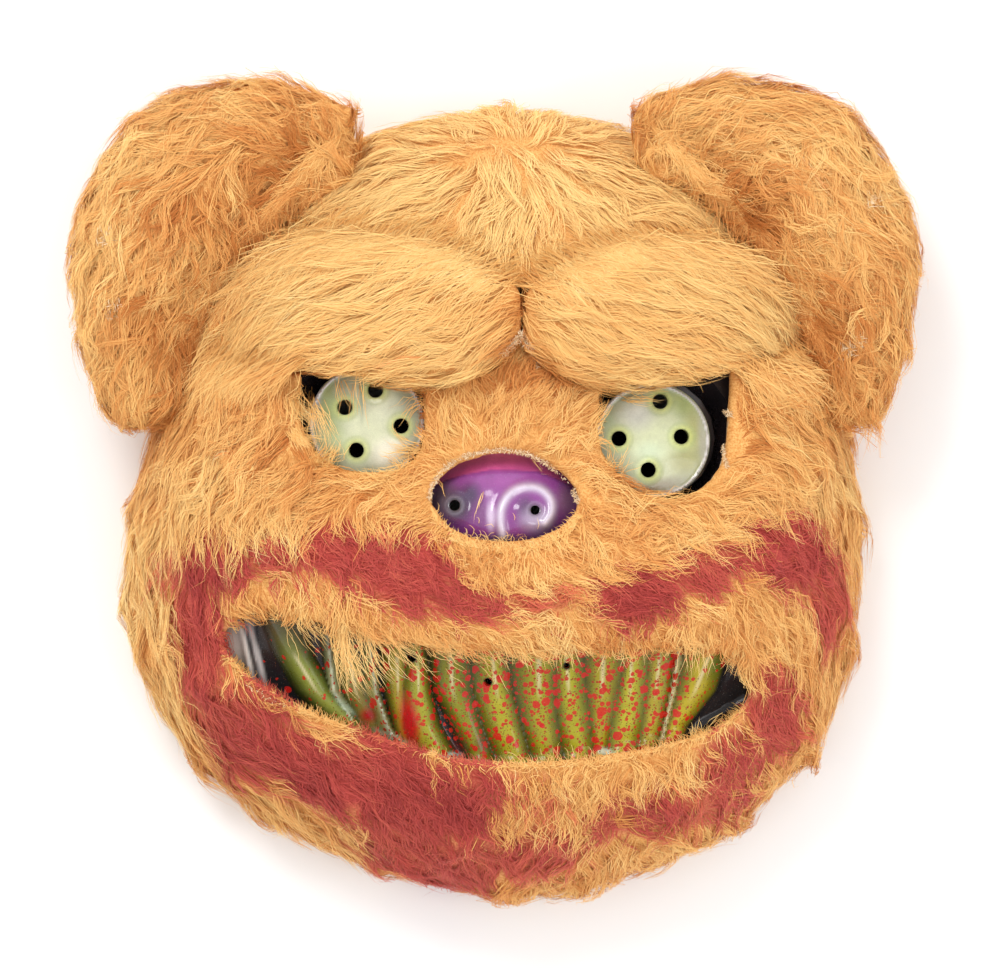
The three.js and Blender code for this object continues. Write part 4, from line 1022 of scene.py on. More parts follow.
def tooth_sheet(shell, fur):
    """The band of teeth between the lips, with the black ends of the mouth."""
    low, high = MOUTH_BOX
    opening = open_places(fur, low, high, OPENING_PITCH)
    xs, ys, open_grid = opening
    across, up = np.meshgrid(xs, ys)
    px, py = across[open_grid], up[open_grid]
    numbers = upper_bowl(px, py, np.array([top_at(shell, a, b) or 0.0 for a, b in zip(px, py)]), 0.1)
    holes = [place_of(column, row) + (radius * PIXEL,) for column, row, radius in BREATH_HOLES]
    kept = clear_of(opening, 3, holes)

    def height(px, py):
        column, row = pixel_of(px, py)
        tall = tooth_heights(column, row)[0]
        return bowl_terms(px, py) @ numbers - DEEPEST_VALLEY + tall * MM

    mesh = moulded("teeth", grid_shape(low, high, TOOTH_PITCH), kept, height, holes)
    places = vertices_of(mesh)
    column, row = pixel_of(places[:, 0], places[:, 1])
    tall, share, owner, crisp = tooth_heights(column, row)
    tints = np.array([paint(*tooth["colour"])[:3] for tooth in TEETH] + [paint(26, 32, 26)[:3]])
    crest = tints[owner]
    valley = np.where((owner < 2)[:, None], paint(30, 28, 31)[:3], paint(40, 44, 18)[:3])
    middle = valley * 0.3 + crest * np.array([0.42, 0.46, 0.36])
    step = smooth(0.0, 0.45, share)[:, None]
    colours = valley * (1 - step) + middle * step
    step = smooth(0.35, 0.85, share)[:, None]
    colours = colours * (1 - step) + crest * step
    # Painted highlight: a pale strip on the upper part of every crest.
    painted_crest_highlight = smooth(0.86, 1.0, share) * (1 - smooth(676, 704, row)) * smooth(648, 658, row)
    colours = blended(colours, (246, 228, 186), painted_crest_highlight * 0.6)
    # Painted highlight along the crisp crests.
    colours = blended(colours, (214, 226, 208), smooth(0.72, 1.0, share) * crisp * 0.6)
    # Painted shadow of the upper lip's fur over the tops of the teeth.
    painted_lip_shadow = 1 - smooth(624, 672, row)
    colours = blended(colours, (66, 50, 44), painted_lip_shadow * 0.8)
    colours = spray_paint_and_light(colours, column, row, TOOTH_PAINT_AND_HIGHLIGHTS)
    near_end = 1 - smooth(255, 268, column + 0.35 * (640 - row))
    far_end = smooth(-1.0, 3.0, column - np.interp(row, TOOTH_ROWS, TEETH[-1]["right"]))
    ends = np.maximum(near_end, far_end)
    ends = np.where(owner < 2, np.maximum(ends, owner >= 0), ends)
    # The black plastic at the mouth's ends, with a painted highlight up its folds.
    fold_highlights = np.array(paint(128, 124, 128)[:3]) * smooth(0.3, 1, share)[:, None] * 0.5
    black = np.array(paint(36, 33, 36)[:3]) + fold_highlights
    colours = colours * (1 - ends[:, None]) + black * ends[:, None]
    colours = spray_paint_and_light(colours, column, row, END_HIGHLIGHTS)
    # Painted shade: a dark ring round each breath hole.
    for a, b, radius in BREATH_HOLES:
        hole = 1 - smooth(radius, radius + 1.6, np.hypot(column - a, row - b))
        colours = blended(colours, (22, 22, 20), hole * 0.85)
    set_paint(mesh, colours)
    middle_zone = smooth(360, 480, column) * (1 - smooth(668, 706, column))
    spattered = 0.05 + 0.25 * smooth(296, 330, column) + 0.7 * middle_zone
    set_float(mesh, "spatter", spattered * (1 - ends) * smooth(628, 650, row))
    return mesh


def window_cutter(fur):
    """Prisms through the sheet inside the moulded surfaces, to cut their windows."""
    shape = bmesh.new()
    for low, high in (MOUTH_BOX, NOSE_BOX):
        xs, ys, open_grid = open_places(fur, low, high, WINDOW_PITCH)
        wide = grown(open_grid, 1)
        half = WINDOW_PITCH / 2
        tile = grid_shape((xs[0] - half, ys[0] - half), (xs[-1] + half, ys[-1] + half), WINDOW_PITCH)
        gone = []
        for face in tile.faces:
            x, y = face.calc_center_median()[:2]
            i, j = round((x - xs[0]) / WINDOW_PITCH), round((y - ys[0]) / WINDOW_PITCH)
            if not wide[min(j, len(ys) - 1), min(i, len(xs) - 1)]:
                gone.append(face)
        bmesh.ops.delete(tile, geom=gone, context="FACES")
        mesh = bpy.data.meshes.new("tile")
        tile.to_mesh(mesh)
        tile.free()
        shape.from_mesh(mesh)
    for facts in EYES:
        x, y = place_of(facts["column"], facts["row"])
        bmesh.ops.create_circle(shape, cap_ends=True, segments=48, radius=EYE_WINDOW_RADIUS,
                                matrix=Matrix.Translation((x, y, 0)))
    made = bmesh.ops.extrude_face_region(shape, geom=shape.faces[:])
    lifted = [part for part in made["geom"] if isinstance(part, bmesh.types.BMVert)]
    bmesh.ops.translate(shape, verts=lifted, vec=(0, 0, 150 * MM))
    bmesh.ops.translate(shape, verts=shape.verts, vec=(0, 0, 20 * MM))
    bmesh.ops.recalc_face_normals(shape, faces=shape.faces)
    mesh = bpy.data.meshes.new("windows")
    shape.to_mesh(mesh)
    shape.free()
    return mesh


def shell_sheet(fur):
    """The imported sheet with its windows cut."""
    cutter = bpy.data.objects.new("windows", window_cutter(fur))
    bpy.context.scene.collection.objects.link(cutter)
    mesh = with_modifier(merged_copy("face_shell"), "BOOLEAN", operation="DIFFERENCE", solver="EXACT",
                         object=cutter)
    bpy.data.objects.remove(cutter)
    mesh.polygons.foreach_set("use_smooth", [True] * len(mesh.polygons))
    mesh.set_sharp_from_angle(angle=math.radians(34))
    return mesh


# Fur panels

PAD_PRESSURE = 4.0
PAD_REACH = 4 * MM
PAD_FRAMES = 20


def swell(mesh):
    """Padding: the cover is blown up a little as cloth, and no point may move further than its reach."""
    scene = bpy.context.scene
    rest = vertices_of(mesh)
    pad = bpy.data.objects.new("pad", mesh)
    scene.collection.objects.link(pad)
    cloth = pad.modifiers.new("Cloth", "CLOTH")
    cloth.settings.use_pressure = True
    cloth.settings.uniform_pressure_force = PAD_PRESSURE
    cloth.settings.effector_weights.gravity = 0
    cloth.point_cache.frame_start, cloth.point_cache.frame_end = 1, PAD_FRAMES
    for moment in range(1, PAD_FRAMES + 1):
        scene.frame_set(moment)
    swollen = evaluated(pad)
    scene.frame_set(1)
    bpy.data.objects.remove(pad)
    moved = vertices_of(swollen) - rest
    far = np.linalg.norm(moved, axis=1, keepdims=True)
    moved *= np.minimum(1, PAD_REACH / np.maximum(far, 1e-9))
    swollen.vertices.foreach_set("co", (rest + moved).astype(np.float32).ravel())
    return swollen


def drawn_up(places):
    """The right brow with its lower edge drawn up by its stitches, clear of the sight holes."""
    column, row = pixel_of(places[:, 0], places[:, 1])
    over = np.maximum(row - along_rows(BROW_EDGE, column), 0)
    places[:, 1] += over * ((column > BROW_EDGE[0][0]) & (column < BROW_EDGE[-1][0])) * PIXEL
    return places


def outwardness(places, normals):
    """Cosine of the angle between each face and the way out of the head."""
    out = places - np.array(HEART)
    return (out * normals).sum(axis=1) / np.linalg.norm(out, axis=1)


def skin_of(node, facts):
    """A panel's dense pile as one smooth closed skin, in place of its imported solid."""
    mesh = with_modifier(merged_copy(node), "REMESH", mode="VOXEL", voxel_size=SKIN_VOXEL, adaptivity=0.0)
    if facts["padded"]:
        mesh = swell(mesh)
    shape = bmesh.new()
    shape.from_mesh(mesh)
    for _ in range(2):
        bmesh.ops.smooth_vert(shape, verts=shape.verts, factor=0.5,
                              use_axis_x=True, use_axis_y=True, use_axis_z=True)
    for vertex in shape.verts:
        vertex.co.z = max(vertex.co.z, 0.0)
    shape.to_mesh(mesh)
    shape.free()
    if node == "brow_fur_right":
        mesh.vertices.foreach_set("co", drawn_up(vertices_of(mesh)).astype(np.float32).ravel())
    mesh.polygons.foreach_set("use_smooth", [True] * len(mesh.polygons))
    places = vertices_of(mesh)
    normals = np.empty(len(mesh.vertices) * 3, np.float32)
    mesh.vertices.foreach_get("normal", normals)
    inward = outwardness(places, normals.reshape(-1, 3)) < -0.6
    set_float(mesh, "stain", stain_at(places[:, 0], places[:, 1]))
    set_float(mesh, "backing", inward & ("fur" in node))
    return mesh


def sampled(mesh, count, draws, all_round):
    """Places and normals spread evenly over the side of a skin that carries pile."""
    mesh.calc_loop_triangles()
    corners = np.empty(len(mesh.loop_triangles) * 3, np.int32)
    mesh.loop_triangles.foreach_get("vertices", corners)
    a, b, c = vertices_of(mesh)[corners.reshape(-1, 3)].transpose(1, 0, 2)
    cross = np.cross(b - a, c - a)
    doubled = np.linalg.norm(cross, axis=1)
    normals = cross / np.maximum(doubled, 1e-12)[:, None]
    middle = (a + b + c) / 3
    carries = normals[:, 2] > -0.75 if all_round else outwardness(middle, normals) > 0.05
    weight = doubled * carries * (0.6 + 0.4 * np.clip(normals[:, 2], 0, 1)) * (middle[:, 2] > 1.5 * MM)
    chosen = draws.choice(len(weight), count, p=weight / weight.sum())
    u, v = draws.random(count), draws.random(count)
    fold = u + v > 1
    u, v = np.where(fold, 1 - u, u), np.where(fold, 1 - v, v)
    places = a[chosen] + (b - a)[chosen] * u[:, None] + (c - a)[chosen] * v[:, None]
    return places, normals[chosen]


def on_slope(ways, normals):
    """Ways on the flat, turned with the surface, so that a way off the top of the head runs down its side."""
    lean = (ways * normals).sum(axis=1) / (1 + np.maximum(normals[:, 2], -0.6))
    up = np.array([0.0, 0.0, 1.0])
    turned = ways - lean[:, None] * (normals + up)
    turned -= (turned * normals).sum(axis=1)[:, None] * normals
    return turned / np.maximum(np.linalg.norm(turned, axis=1), 1e-9)[:, None]


def rolling(places, scale, shift):
    """Slow noise, from -1 to 1, the same on every run."""
    return np.array([noise.noise(Vector(place) * scale + Vector((shift, 0, 0))) for place in places])


def lay_guides(skin, roots, normals, facts, draws, shell):
    """Guide strands, combed over the skin. Returns their points, and the normal at each point."""
    comb = Comb(facts["comb"])
    count = len(roots)
    swirl = np.radians(facts["swirl"])
    own_turn = draws.normal(0, 0.55, count) * swirl + rolling(roots, 70, 3.1) * swirl * 1.7
    wave, phase = draws.uniform(0.2, 1.25, count) * facts["curl"], draws.uniform(0, 2 * math.pi, count)
    lift = draws.gamma(3.0, 0.5, count) * MM * facts["lift"] + 0.5 * MM
    lift *= 1 - 0.55 * stain_at(roots[:, 0], roots[:, 1])
    long = comb.read(roots[:, 0], roots[:, 1])[1] * draws.uniform(0.75, 1.3, count)
    place, normal = roots.copy(), normals.copy()
    points, ups = [roots], [normals]
    for step in range(1, GUIDE_STEPS + 1):
        share = step / GUIDE_STEPS
        heading = comb.read(place[:, 0], place[:, 1])[0] + own_turn + wave * np.sin(phase + 4.8 * share)
        ways = on_slope(np.stack([np.cos(heading), np.sin(heading), np.zeros(count)], axis=1), normal)
        ahead = place + ways * (long / GUIDE_STEPS)[:, None]
        high = lift * (1.25 * math.sin(min(1.0, share * 1.6) * math.pi / 2) - 0.3 * share)
        for i in range(count):
            found, facing, _, away = skin.find_nearest(Vector(ahead[i]))
            if facing.dot(Vector(normal[i])) > 0.3 and away < 7 * MM:
                ahead[i] = found + facing * high[i]
                normal[i] = (Vector(normal[i]) + facing).normalized()
            else:
                ahead[i, 2] -= long[i] / GUIDE_STEPS * 0.35
                below = top_at(shell, ahead[i, 0], ahead[i, 1])
                if below is not None:
                    ahead[i, 2] = max(ahead[i, 2], below + 1.2 * MM)
        ahead[:, 2] = np.maximum(ahead[:, 2], FLOOR_CLEARANCE)
        place = ahead
        points.append(place)
        ups.append(normal.copy())
    return np.stack(points, axis=1), np.stack(ups, axis=1)


def along(paths, shares):
    """Points of each path at its own shares of the way."""
    at = np.clip(shares, 0, 1) * (paths.shape[1] - 1)
    low = np.minimum(at.astype(int), paths.shape[1] - 2)
    part = (at - low)[..., None]
    rows = np.arange(len(paths))[:, None]
    return paths[rows, low] * (1 - part) + paths[rows, low + 1] * part


STRAND_SHARES = np.array([0.0, 0.22, 0.46, 0.72, 1.0])
STRAND_WIDTHS = np.array([0.75, 1.0, 0.92, 0.68, 0.0])


def ribbons(name, paths, sides, width, shade):
    """Narrow flat strands as one mesh. Its map holds their shades across, and the way from root to tip up."""
    count, points = paths.shape[:2]
    half = sides * (STRAND_WIDTHS * width / 2)[None, :, None]
    left, right = paths - half, paths + half
    pairs = np.stack([left[:, :-1], right[:, :-1]], axis=2).reshape(count, -1, 3)
    corners = np.concatenate([pairs, paths[:, -1:]], axis=1)
    each = corners.shape[1]
    quads = [(2 * i, 2 * i + 1, 2 * i + 3, 2 * i + 2) for i in range(points - 2)]
    pattern = np.array([c for quad in quads for c in quad] + [each - 3, each - 2, each - 1])
    sizes = np.array([4] * len(quads) + [3])
    loops = (pattern[None, :] + (np.arange(count) * each)[:, None]).ravel()
    starts = np.concatenate([[0], np.cumsum(np.tile(sizes, count))[:-1]])
    mesh = bpy.data.meshes.new(name)
    mesh.vertices.add(count * each)
    mesh.vertices.foreach_set("co", corners.astype(np.float32).ravel())
    mesh.loops.add(len(loops))
    mesh.loops.foreach_set("vertex_index", loops.astype(np.int32))
    mesh.polygons.add(count * len(sizes))
    mesh.polygons.foreach_set("loop_start", starts.astype(np.int32))
    mesh.update(calc_edges=True)
    mesh.polygons.foreach_set("use_smooth", np.ones(count * len(sizes), bool))
    across = np.concatenate([np.tile([-0.004, 0.004], points - 1), [0.0]])
    up = np.concatenate([np.repeat(STRAND_SHARES[:-1], 2), [1.0]])
    spots = np.stack([shade[:, None] + across[pattern][None, :], np.tile(up[pattern], (count, 1))], axis=2)
    layer = mesh.uv_layers.new(name="OFBake")
    layer.uv.foreach_set("vector", spots.astype(np.float32).ravel())
    return mesh


def shades_for(roots, strand_guide, guide_tone, facts, draws):
    """Each strand's column in the map of shades: clean in the left half, and stained in the right half."""
    count = len(roots)
    # The tone takes painted light and shade from the patches, and painted shade from the creases.
    crease_shade_and_parting = parting_and_crease_shade_at(roots[:, 0], roots[:, 1])
    streaks = 0.17 * guide_tone[strand_guide] + draws.normal(0, 0.08, count)
    tone = facts["level"] + light_shade_and_tone_at(roots[:, 0], roots[:, 1]) + facts["streaks"] * streaks - 0.5 * crease_shade_and_parting
    clean = 0.02 + 0.46 * np.clip(tone, 0, 1)
    stain = stain_at(roots[:, 0], roots[:, 1])
    streak = 0.5 * guide_tone[strand_guide] + draws.normal(0, 0.16, count)
    soaked = stain + 0.45 * streak > 0.5
    depth = np.clip(0.26 + 0.8 * (1 - stain) + 0.24 * streak + draws.normal(0, 0.09, count), 0, 1)
    return np.where(soaked, 0.52 + 0.46 * depth, clean)


def strands_on(mesh, facts, count, draws, shell):
    """All the strands of one panel, as paths, sideways directions and shades."""
    skin = tree_of(mesh)
    guide_roots, guide_normals = sampled(mesh, max(50, count // STRANDS_PER_GUIDE), draws, facts["round"])
    guides, ups = lay_guides(skin, guide_roots, guide_normals, facts, draws, shell)
    finder = KDTree(len(guide_roots))
    for index, root in enumerate(guide_roots):
        finder.insert(root, index)
    finder.balance()
    roots, _ = sampled(mesh, count, draws, facts["round"])
    own = np.array([finder.find(root)[1] for root in roots])
    guide_tone = np.clip(rolling(guide_roots, 45, 9.7) * 1.5 + draws.normal(0, 0.5, len(guide_roots)), -2, 2)
    stray = draws.random(count) < STRAY_SHARE
    reach = np.where(stray, draws.uniform(0.9, 1.45, count), draws.uniform(0.6, 1.1, count))
    paths = along(guides[own], reach[:, None] * STRAND_SHARES)
    gather = draws.uniform(0.1, 0.3 + 0.4 * facts["curl"], len(guide_roots))[own][:, None]
    gather = gather * np.minimum(1, STRAND_SHARES * 1.1)
    offset = roots - guide_roots[own]
    paths += offset[:, None, :] * (1 - gather)[..., None]
    tangents = np.gradient(paths, axis=1)
    tangents /= np.maximum(np.linalg.norm(tangents, axis=2, keepdims=True), 1e-9)
    normals = along(ups[own], np.tile(STRAND_SHARES, (count, 1)))
    sideways = np.cross(tangents, normals)
    sideways /= np.maximum(np.linalg.norm(sideways, axis=2, keepdims=True), 1e-9)
    wild = np.where(stray, 2.6, 1.0)[:, None]
    phase = draws.uniform(0, 6.3, (count, 1))
    frizz = draws.normal(0, 1.2, (count, 1)) * np.sin(phase + STRAND_SHARES * 8) * STRAND_SHARES
    paths += sideways * (frizz * wild * (0.4 + 1.1 * facts["curl"]) * MM)[..., None]
    raise_up = np.abs(draws.normal(0, 0.55, (count, 1))) * wild * STRAND_SHARES * MM
    paths += normals * raise_up[..., None]
    paths[..., 2] = np.maximum(paths[..., 2], FLOOR_CLEARANCE)
    twist = draws.normal(0, 0.3, (count, 1, 1))
    sides = sideways * np.cos(twist) + normals * np.sin(twist)
    return paths, sides, shades_for(roots, own, guide_tone, facts, draws)


def fur_panel(node, facts, number, shell, looks):
    """One panel of fur: its skin, and its pile in pieces. Returns the skin's mesh."""
    draws = np.random.default_rng(SEED + number)
    mesh = skin_of(node, facts)
    skin = object_from(node + ".skin", mesh, looks["skin"])
    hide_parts(node)
    count = int(STRANDS * facts["share"])
    paths, sides, shade = strands_on(mesh, facts, count, draws, shell)
    order = np.argsort(paths[:, 0, 0], kind="stable")
    parts = math.ceil(count / MOST_STRANDS)
    for part, rows in enumerate(np.array_split(order, parts)):
        pile = ribbons(node, paths[rows], sides[rows], STRAND_WIDTH, shade[rows])
        object_from(f"{node}.pile_{part + 1}", pile, looks["strands"])
    return mesh


# Loose threads and wisps

# Raw edges of the backing, in pixels, how many threads stand on them, how far these spread, and how long
# they are in mm.
CUT_EDGES = [
    dict(points=[(430, 500), (433, 486), (441, 473), (455, 461), (475, 453.5), (500, 450), (524, 453),
                 (546, 464), (563, 479), (574, 494), (577, 502)], threads=1100, spread=1.1, long=0.9),
    dict(points=[(724, 380), (722, 400), (720, 418), (720, 436), (722, 455), (725, 468)], threads=520,
         spread=0.9, long=0.9),
    dict(points=[(722, 412), (729, 415)], threads=50, spread=2.6, long=1.3),
    dict(points=[(521, 336), (511, 347), (500, 357)], threads=170, spread=1.6, long=1.4),
    dict(points=[(519, 336), (531, 350), (537, 367)], threads=170, spread=1.6, long=1.4),
    dict(points=[(533, 232), (527, 246), (520, 260)], threads=80, spread=2.8, long=1.2),
    dict(points=[(722, 232), (734, 234)], threads=24, spread=2.0, long=1.1),
    dict(points=[(250, 684), (268, 696), (290, 706)], threads=40, spread=1.6, long=1.0),
]
# Thin places where the weave shows: column, row and half width.
WOVEN_SPOTS = [(105, 240, 9), (112, 312, 9), (872, 203, 6), (833, 366, 8), (856, 344, 7), (846, 352, 6)]
# Strands laid over the joins between panels and over the lips: a line, their headings at its ends and how
# far they turn, their length in mm, how they bend, how high they lie in mm, and how light they are.
SEAMS = [
    dict(points=[(222, 292), (262, 250), (330, 232), (410, 236), (480, 258), (512, 286)],
         headings=(232, 196), turn=12, long=27, bend=3, count=1800, high=2.3, level=0.56),
    dict(points=[(532, 292), (560, 268), (620, 244), (690, 240), (750, 256), (796, 300)],
         headings=(334, 322), turn=12, long=27, bend=-3, count=1700, high=2.3, level=0.54),
    dict(points=[(204, 338), (216, 360), (250, 368), (300, 366)],
         headings=(246, 218), turn=14, long=20, bend=4, count=900, high=1.8, level=0.5),
    dict(points=[(740, 374), (790, 366), (812, 350)],
         headings=(330, 304), turn=14, long=22, bend=-4, count=700, high=1.8, level=0.48),
    dict(points=[(338, 138), (318, 160), (268, 214), (238, 262), (204, 330)],
         headings=(222, 242), turn=22, long=20, bend=8, count=900, high=2.2, level=0.4),
    dict(points=[(656, 130), (700, 176), (750, 226), (790, 286), (818, 340)],
         headings=(330, 306), turn=22, long=20, bend=-8, count=900, high=2.2, level=0.4),
    dict(points=[(226, 654), (250, 678), (296, 707), (345, 724), (391, 740), (450, 759), (500, 764),
                 (552, 763), (610, 759), (654, 748), (715, 731), (746, 706)],
         headings=(50, 130), turn=70, long=4.5, bend=20, count=1700, high=0.4, level=0.42),
    dict(points=[(223, 652), (220, 640), (223, 630)],
         headings=(330, 300), turn=40, long=3.5, bend=14, count=110, high=0.4, level=0.42),
    dict(points=[(433, 514), (445, 531), (462, 543), (485, 549), (515, 550), (545, 545), (568, 531),
                 (581, 514)],
         headings=(50, 130), turn=50, long=4.6, bend=20, count=560, high=0.5, level=0.45),
]
# Fine strands that hang over the formed face: a place and its spread in pixels, their heading and its spread,
# their length in mm, how they bend, and how many they are.
WISPS = table("column row spread heading turn long bend count", [
    (297, 402, 7, 292, 16, 9, 10, 90), (297, 432, 8, 312, 18, 8, 10, 110),
    (318, 462, 12, 30, 24, 8, 10, 60), (306, 392, 8, 296, 12, 24, -6, 26),
    (312, 380, 6, 262, 14, 20, 12, 16), (359, 374, 4, 268, 5, 17, 2, 7), (338, 376, 7, 278, 8, 13, 3, 8),
    (424, 402, 5, 196, 10, 12, 14, 12), (420, 448, 8, 200, 22, 12, -14, 34),
    (404, 470, 8, 130, 30, 7, 10, 26), (330, 462, 10, 60, 25, 8, 12, 18), (620, 398, 12, 352, 8, 14, 4, 16),
    (606, 470, 10, 40, 20, 9, 14, 20), (484, 486, 1, 252, 2, 13, 2, 3), (440, 481, 1, 300, 3, 6, -8, 3),
    (500, 549, 26, 80, 60, 5, 30, 70), (462, 541, 12, 60, 60, 4, 30, 30),
    (300, 616, 16, 292, 14, 13, 6, 30), (341, 622, 9, 276, 9, 25, 6, 80), (366, 626, 9, 286, 9, 20, 8, 34),
    (388, 636, 8, 304, 8, 19, 6, 16), (440, 638, 22, 324, 12, 13, 6, 50), (500, 642, 22, 306, 18, 9, 2, 46),
    (565, 634, 26, 282, 20, 9, 2, 60), (630, 628, 22, 276, 16, 10, -4, 60),
    (690, 634, 14, 284, 14, 12, -6, 34), (735, 648, 8, 262, 12, 9, -8, 22),
    (690, 742, 14, 70, 30, 7, 12, 24), (726, 712, 8, 262, 24, 15, 10, 16),
    (560, 770, 30, 60, 50, 6, 20, 50),
])


def highest(trees, x, y):
    """The top of the piles of skins or sheets over a place, looked for a little way round it."""
    around = ((0, 0), (MM, 0), (-MM, 0), (0, MM), (0, -MM))
    found = [top_at(tree, x + a, y + b) for tree in trees for a, b in around]
    return max([height for height in found if height is not None], default=0.02)


def short_threads(skins, draws):
    """Frays of the cut edges, and the weave that shows through thin places, as paths."""
    paths = []
    for edge in CUT_EDGES:
        places = np.array(edge["points"], float)
        steps = np.concatenate([[0], np.cumsum(np.hypot(*np.diff(places, axis=0).T))])
        for _ in range(edge["threads"]):
            at = draws.uniform(0, steps[-1])
            column = np.interp(at, steps, places[:, 0]) + draws.normal(0, edge["spread"] * 0.5)
            row = np.interp(at, steps, places[:, 1]) + draws.normal(0, edge["spread"] * 0.5)
            x, y = place_of(column, row)
            z = highest(skins, x, y) + draws.uniform(-0.5, 1.1) * MM
            heading = draws.uniform(0, 360)
            paths.append(curled(x, y, z, heading, edge["long"] * draws.uniform(0.5, 1.3), 60, draws))
    for column, row, wide in WOVEN_SPOTS:
        for number in range(34):
            along_row = number % 2
            off = draws.uniform(-1, 1, 2) * wide
            x, y = place_of(column + off[0], row + off[1])
            z = highest(skins, x, y) + 2.6 * MM
            paths.append(curled(x, y, z, (12 if along_row else 98) + draws.normal(0, 8), 1.9, 12, draws))
    return np.array(paths)


def curled(x, y, z, heading, long, bend, draws):
    """Five points of one short thread."""
    turns = np.radians(heading + np.linspace(0, 1, 5) * draws.normal(0, bend))
    steps = np.stack([np.cos(turns), np.sin(turns), np.full(5, draws.normal(0, 0.25))], axis=1) * long * MM / 4
    return np.array([x, y, z]) + np.cumsum(steps, axis=0)


def hanging_wisps(sheets, skins, draws):
    """Strands that start in the pile and lie over the eyes, the nose and the teeth."""
    paths = []
    for wisp in WISPS:
        for _ in range(wisp["count"]):
            x, y = place_of(wisp["column"] + draws.normal(0, wisp["spread"] * 0.6),
                            wisp["row"] + draws.normal(0, wisp["spread"] * 0.35))
            heading = wisp["heading"] + draws.normal(0, wisp["turn"])
            step = wisp["long"] * draws.uniform(0.6, 1.15) * MM / 4
            z = highest(skins, x, y) + 1.2 * MM
            path = [(x, y, z)]
            curl, phase = draws.normal(0, 16), draws.uniform(0, 6.3)
            for number in range(4):
                wave = curl * math.sin(phase + 1.9 * number)
                turn = math.radians(heading + wisp["bend"] * number + wave)
                x, y = x + math.cos(turn) * step, y + math.sin(turn) * step
                floor = max(highest(sheets, x, y), top_at(skins[-1], x, y) or 0)
                z = max(floor + (1.4 - 0.2 * number) * MM, z - 2.2 * MM)
                path.append((x, y, z))
            paths.append(path)
    return np.array(paths)


def seam_strands(skins, draws):
    """Strands laid across the joins, close over the panels on both sides, and how light each is."""
    paths, levels = [], []
    for seam in SEAMS:
        places = np.array(seam["points"], float)
        steps = np.concatenate([[0], np.cumsum(np.hypot(*np.diff(places, axis=0).T))])
        for _ in range(seam["count"]):
            at = draws.uniform(0, steps[-1])
            heading = np.interp(at, (0, steps[-1]), seam["headings"]) + draws.normal(0, seam["turn"])
            step = seam["long"] * draws.uniform(0.6, 1.2) * MM / 4
            back = draws.uniform(0, 1.6) * step
            x, y = place_of(np.interp(at, steps, places[:, 0]), np.interp(at, steps, places[:, 1]))
            x -= math.cos(math.radians(heading)) * back
            y -= math.sin(math.radians(heading)) * back
            curl, phase = draws.normal(0, 18), draws.uniform(0, 6.3)
            path = []
            for number in range(5):
                arch = seam["high"] - 0.3 * abs(number - 2)
                z = highest(skins, x, y) + arch * MM + draws.uniform(0, 0.4) * MM
                path.append((x, y, z if not path else max(z, path[-1][2] - 2.5 * MM)))
                turn = math.radians(heading + seam["bend"] * number + curl * math.sin(phase + 1.9 * number))
                x, y = x + math.cos(turn) * step, y + math.sin(turn) * step
            paths.append(path)
            levels.append(seam["level"])
    return np.array(paths), np.array(levels)


def loose_ends(skins, sheets, looks):
    """The frays, the wisps and the strands over the seams as three pieces."""
    draws = np.random.default_rng(SEED + 90)
    seams, levels = seam_strands(skins, draws)
    for name, paths, width, level, look in (
        ("frays", short_threads(skins, draws), THREAD_WIDTH, None, looks["threads"]),
        ("wisps", hanging_wisps(sheets, skins, draws), STRAND_WIDTH * 0.8, 0.64, looks["strands"]),
        ("seams", seams, STRAND_WIDTH, levels, looks["strands"]),
    ):
        ways = np.gradient(paths, axis=1)
        sides = np.cross(ways, (0, 0, 1.0))
        sides /= np.maximum(np.linalg.norm(sides, axis=2, keepdims=True), 1e-9)
        if level is not None:
            x, y = paths[:, 0, 0], paths[:, 0, 1]
            # These strands take the same painted light and shade from the patches and the creases.
            tone = level + light_shade_and_tone_at(x, y) + draws.normal(0, 0.1, len(paths)) - 0.3 * parting_and_crease_shade_at(x, y)
            clean = 0.02 + 0.46 * np.clip(tone, 0, 1)
            soaked = stain_at(x, y) > draws.normal(0.5, 0.1, len(paths))
            shade = np.where(soaked, draws.uniform(0.6, 0.9, len(paths)), clean)
        else:
            shade = draws.uniform(0.1, 0.95, len(paths))
        object_from(name, ribbons(name, paths, sides, width, shade), look)


# Camera, light and floor

def make_camera():
    """The picture's camera, straight over the mask."""
    data = bpy.data.cameras.new("camera")
    data.sensor_width = SENSOR
    data.lens = SENSOR * CAMERA_HEIGHT / (PICTURE_WIDE * PIXEL)
    data.clip_end = 20
    camera = bpy.data.objects.new("camera", data)
    bpy.context.scene.collection.objects.link(camera)
    x, y = place_of(PICTURE_WIDE / 2, PICTURE_HIGH / 2)
    camera.location = (x, y, MIDDLE_PLANE + CAMERA_HEIGHT)
    bpy.context.scene.camera = camera


def area_light(name, place, size, power):
    """A round light that faces the mask."""
    data = bpy.data.lights.new(name, "AREA")
    data.shape, data.size, data.energy = "DISK", size, power
    light = bpy.data.objects.new(name, data)
    bpy.context.scene.collection.objects.link(light)
    light.location = place
    light.rotation_mode = "QUATERNION"
    light.rotation_quaternion = (Vector((0, 0, MIDDLE_PLANE)) - Vector(place)).to_track_quat("-Z", "Y")


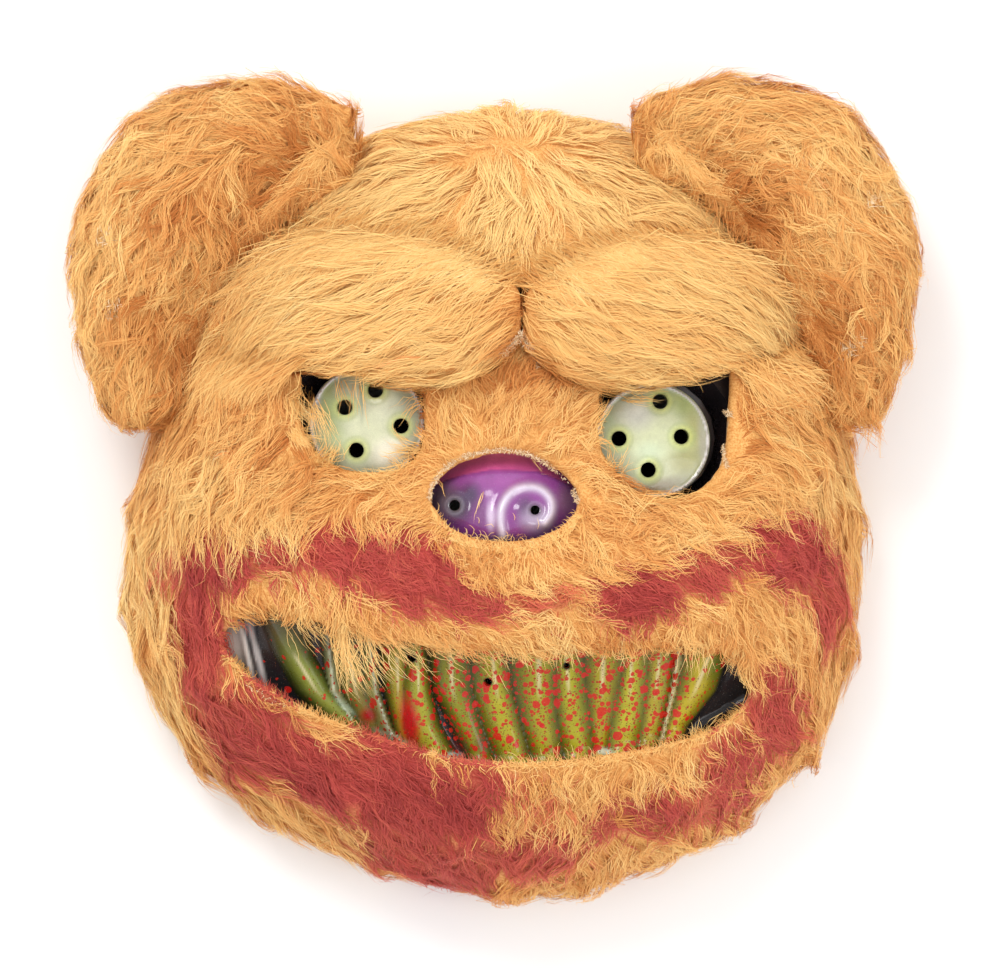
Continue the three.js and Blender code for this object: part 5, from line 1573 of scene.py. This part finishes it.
def make_stage():
    """White paper under even studio light."""
    scene = bpy.context.scene
    scene.view_settings.view_transform = "Standard"
    world = bpy.data.worlds.new("studio")
    scene.world = world
    world.use_nodes = True
    background = world.node_tree.nodes["Background"]
    background.inputs["Color"].default_value = (1, 1, 1, 1)
    background.inputs["Strength"].default_value = 1.0
    area_light("key", (-0.7, 1.3, 1.7), 0.9, 20)
    area_light("fill", (1.2, -0.4, 1.6), 1.0, 8)
    shape = bmesh.new()
    bmesh.ops.create_grid(shape, x_segments=1, y_segments=1, size=6)
    mesh = bpy.data.meshes.new("floor")
    shape.to_mesh(mesh)
    shape.free()
    floor = bpy.data.objects.new("floor", mesh)
    scene.collection.objects.link(floor)
    look = Shader("paper floor", Roughness=0.9)
    look.surface.inputs["Base Color"].default_value = (0.96, 0.96, 0.96, 1)
    mesh.materials.append(look.material)


def formed_face(shell, fur, looks):
    """The black sheet, and the painted eyes, nose and teeth in its windows. Returns their meshes."""
    sheet = object_from("face_shell.sheet", shell_sheet(fur), looks["shell"])
    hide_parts("face_shell")
    meshes = []
    for facts in EYES:
        meshes.append(eye_sheet(facts, shell))
        object_from(facts["name"], meshes[-1], looks["eyes"])
    meshes.append(nose_sheet(shell, fur))
    object_from("nose", meshes[-1], looks["nose"])
    meshes.append(tooth_sheet(shell, fur))
    object_from("teeth", meshes[-1], looks["teeth"])
    return meshes


def main():
    """Builds the mask's looks in the order of its making."""
    make_camera()
    make_stage()
    shell = tree_of(merged_copy("face_shell"))
    fur = tree_of(merged_copy("face_fur"))
    handled = handled_group()
    looks = {
        "strands": strand_material(), "skin": skin_material(), "threads": thread_material(),
        "shell": shell_material(handled), "eyes": painted_material("eye paint", handled, 0.12, 0.6),
        "nose": painted_material("nose paint", handled, 0.1, 0.6),
        "teeth": painted_material("tooth paint", handled, 0.16, 0.3, spattered=True),
    }
    sheets = [tree_of(mesh) for mesh in formed_face(shell, fur, looks)] + [shell]
    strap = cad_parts["head_strap"].data
    strap.materials.clear()
    strap.materials.append(strap_material())
    skins = []
    for number, (node, facts) in enumerate(PANELS.items()):
        skins.append(tree_of(fur_panel(node, facts, number, shell, looks)))
    loose_ends(skins, sheets, looks)


main()
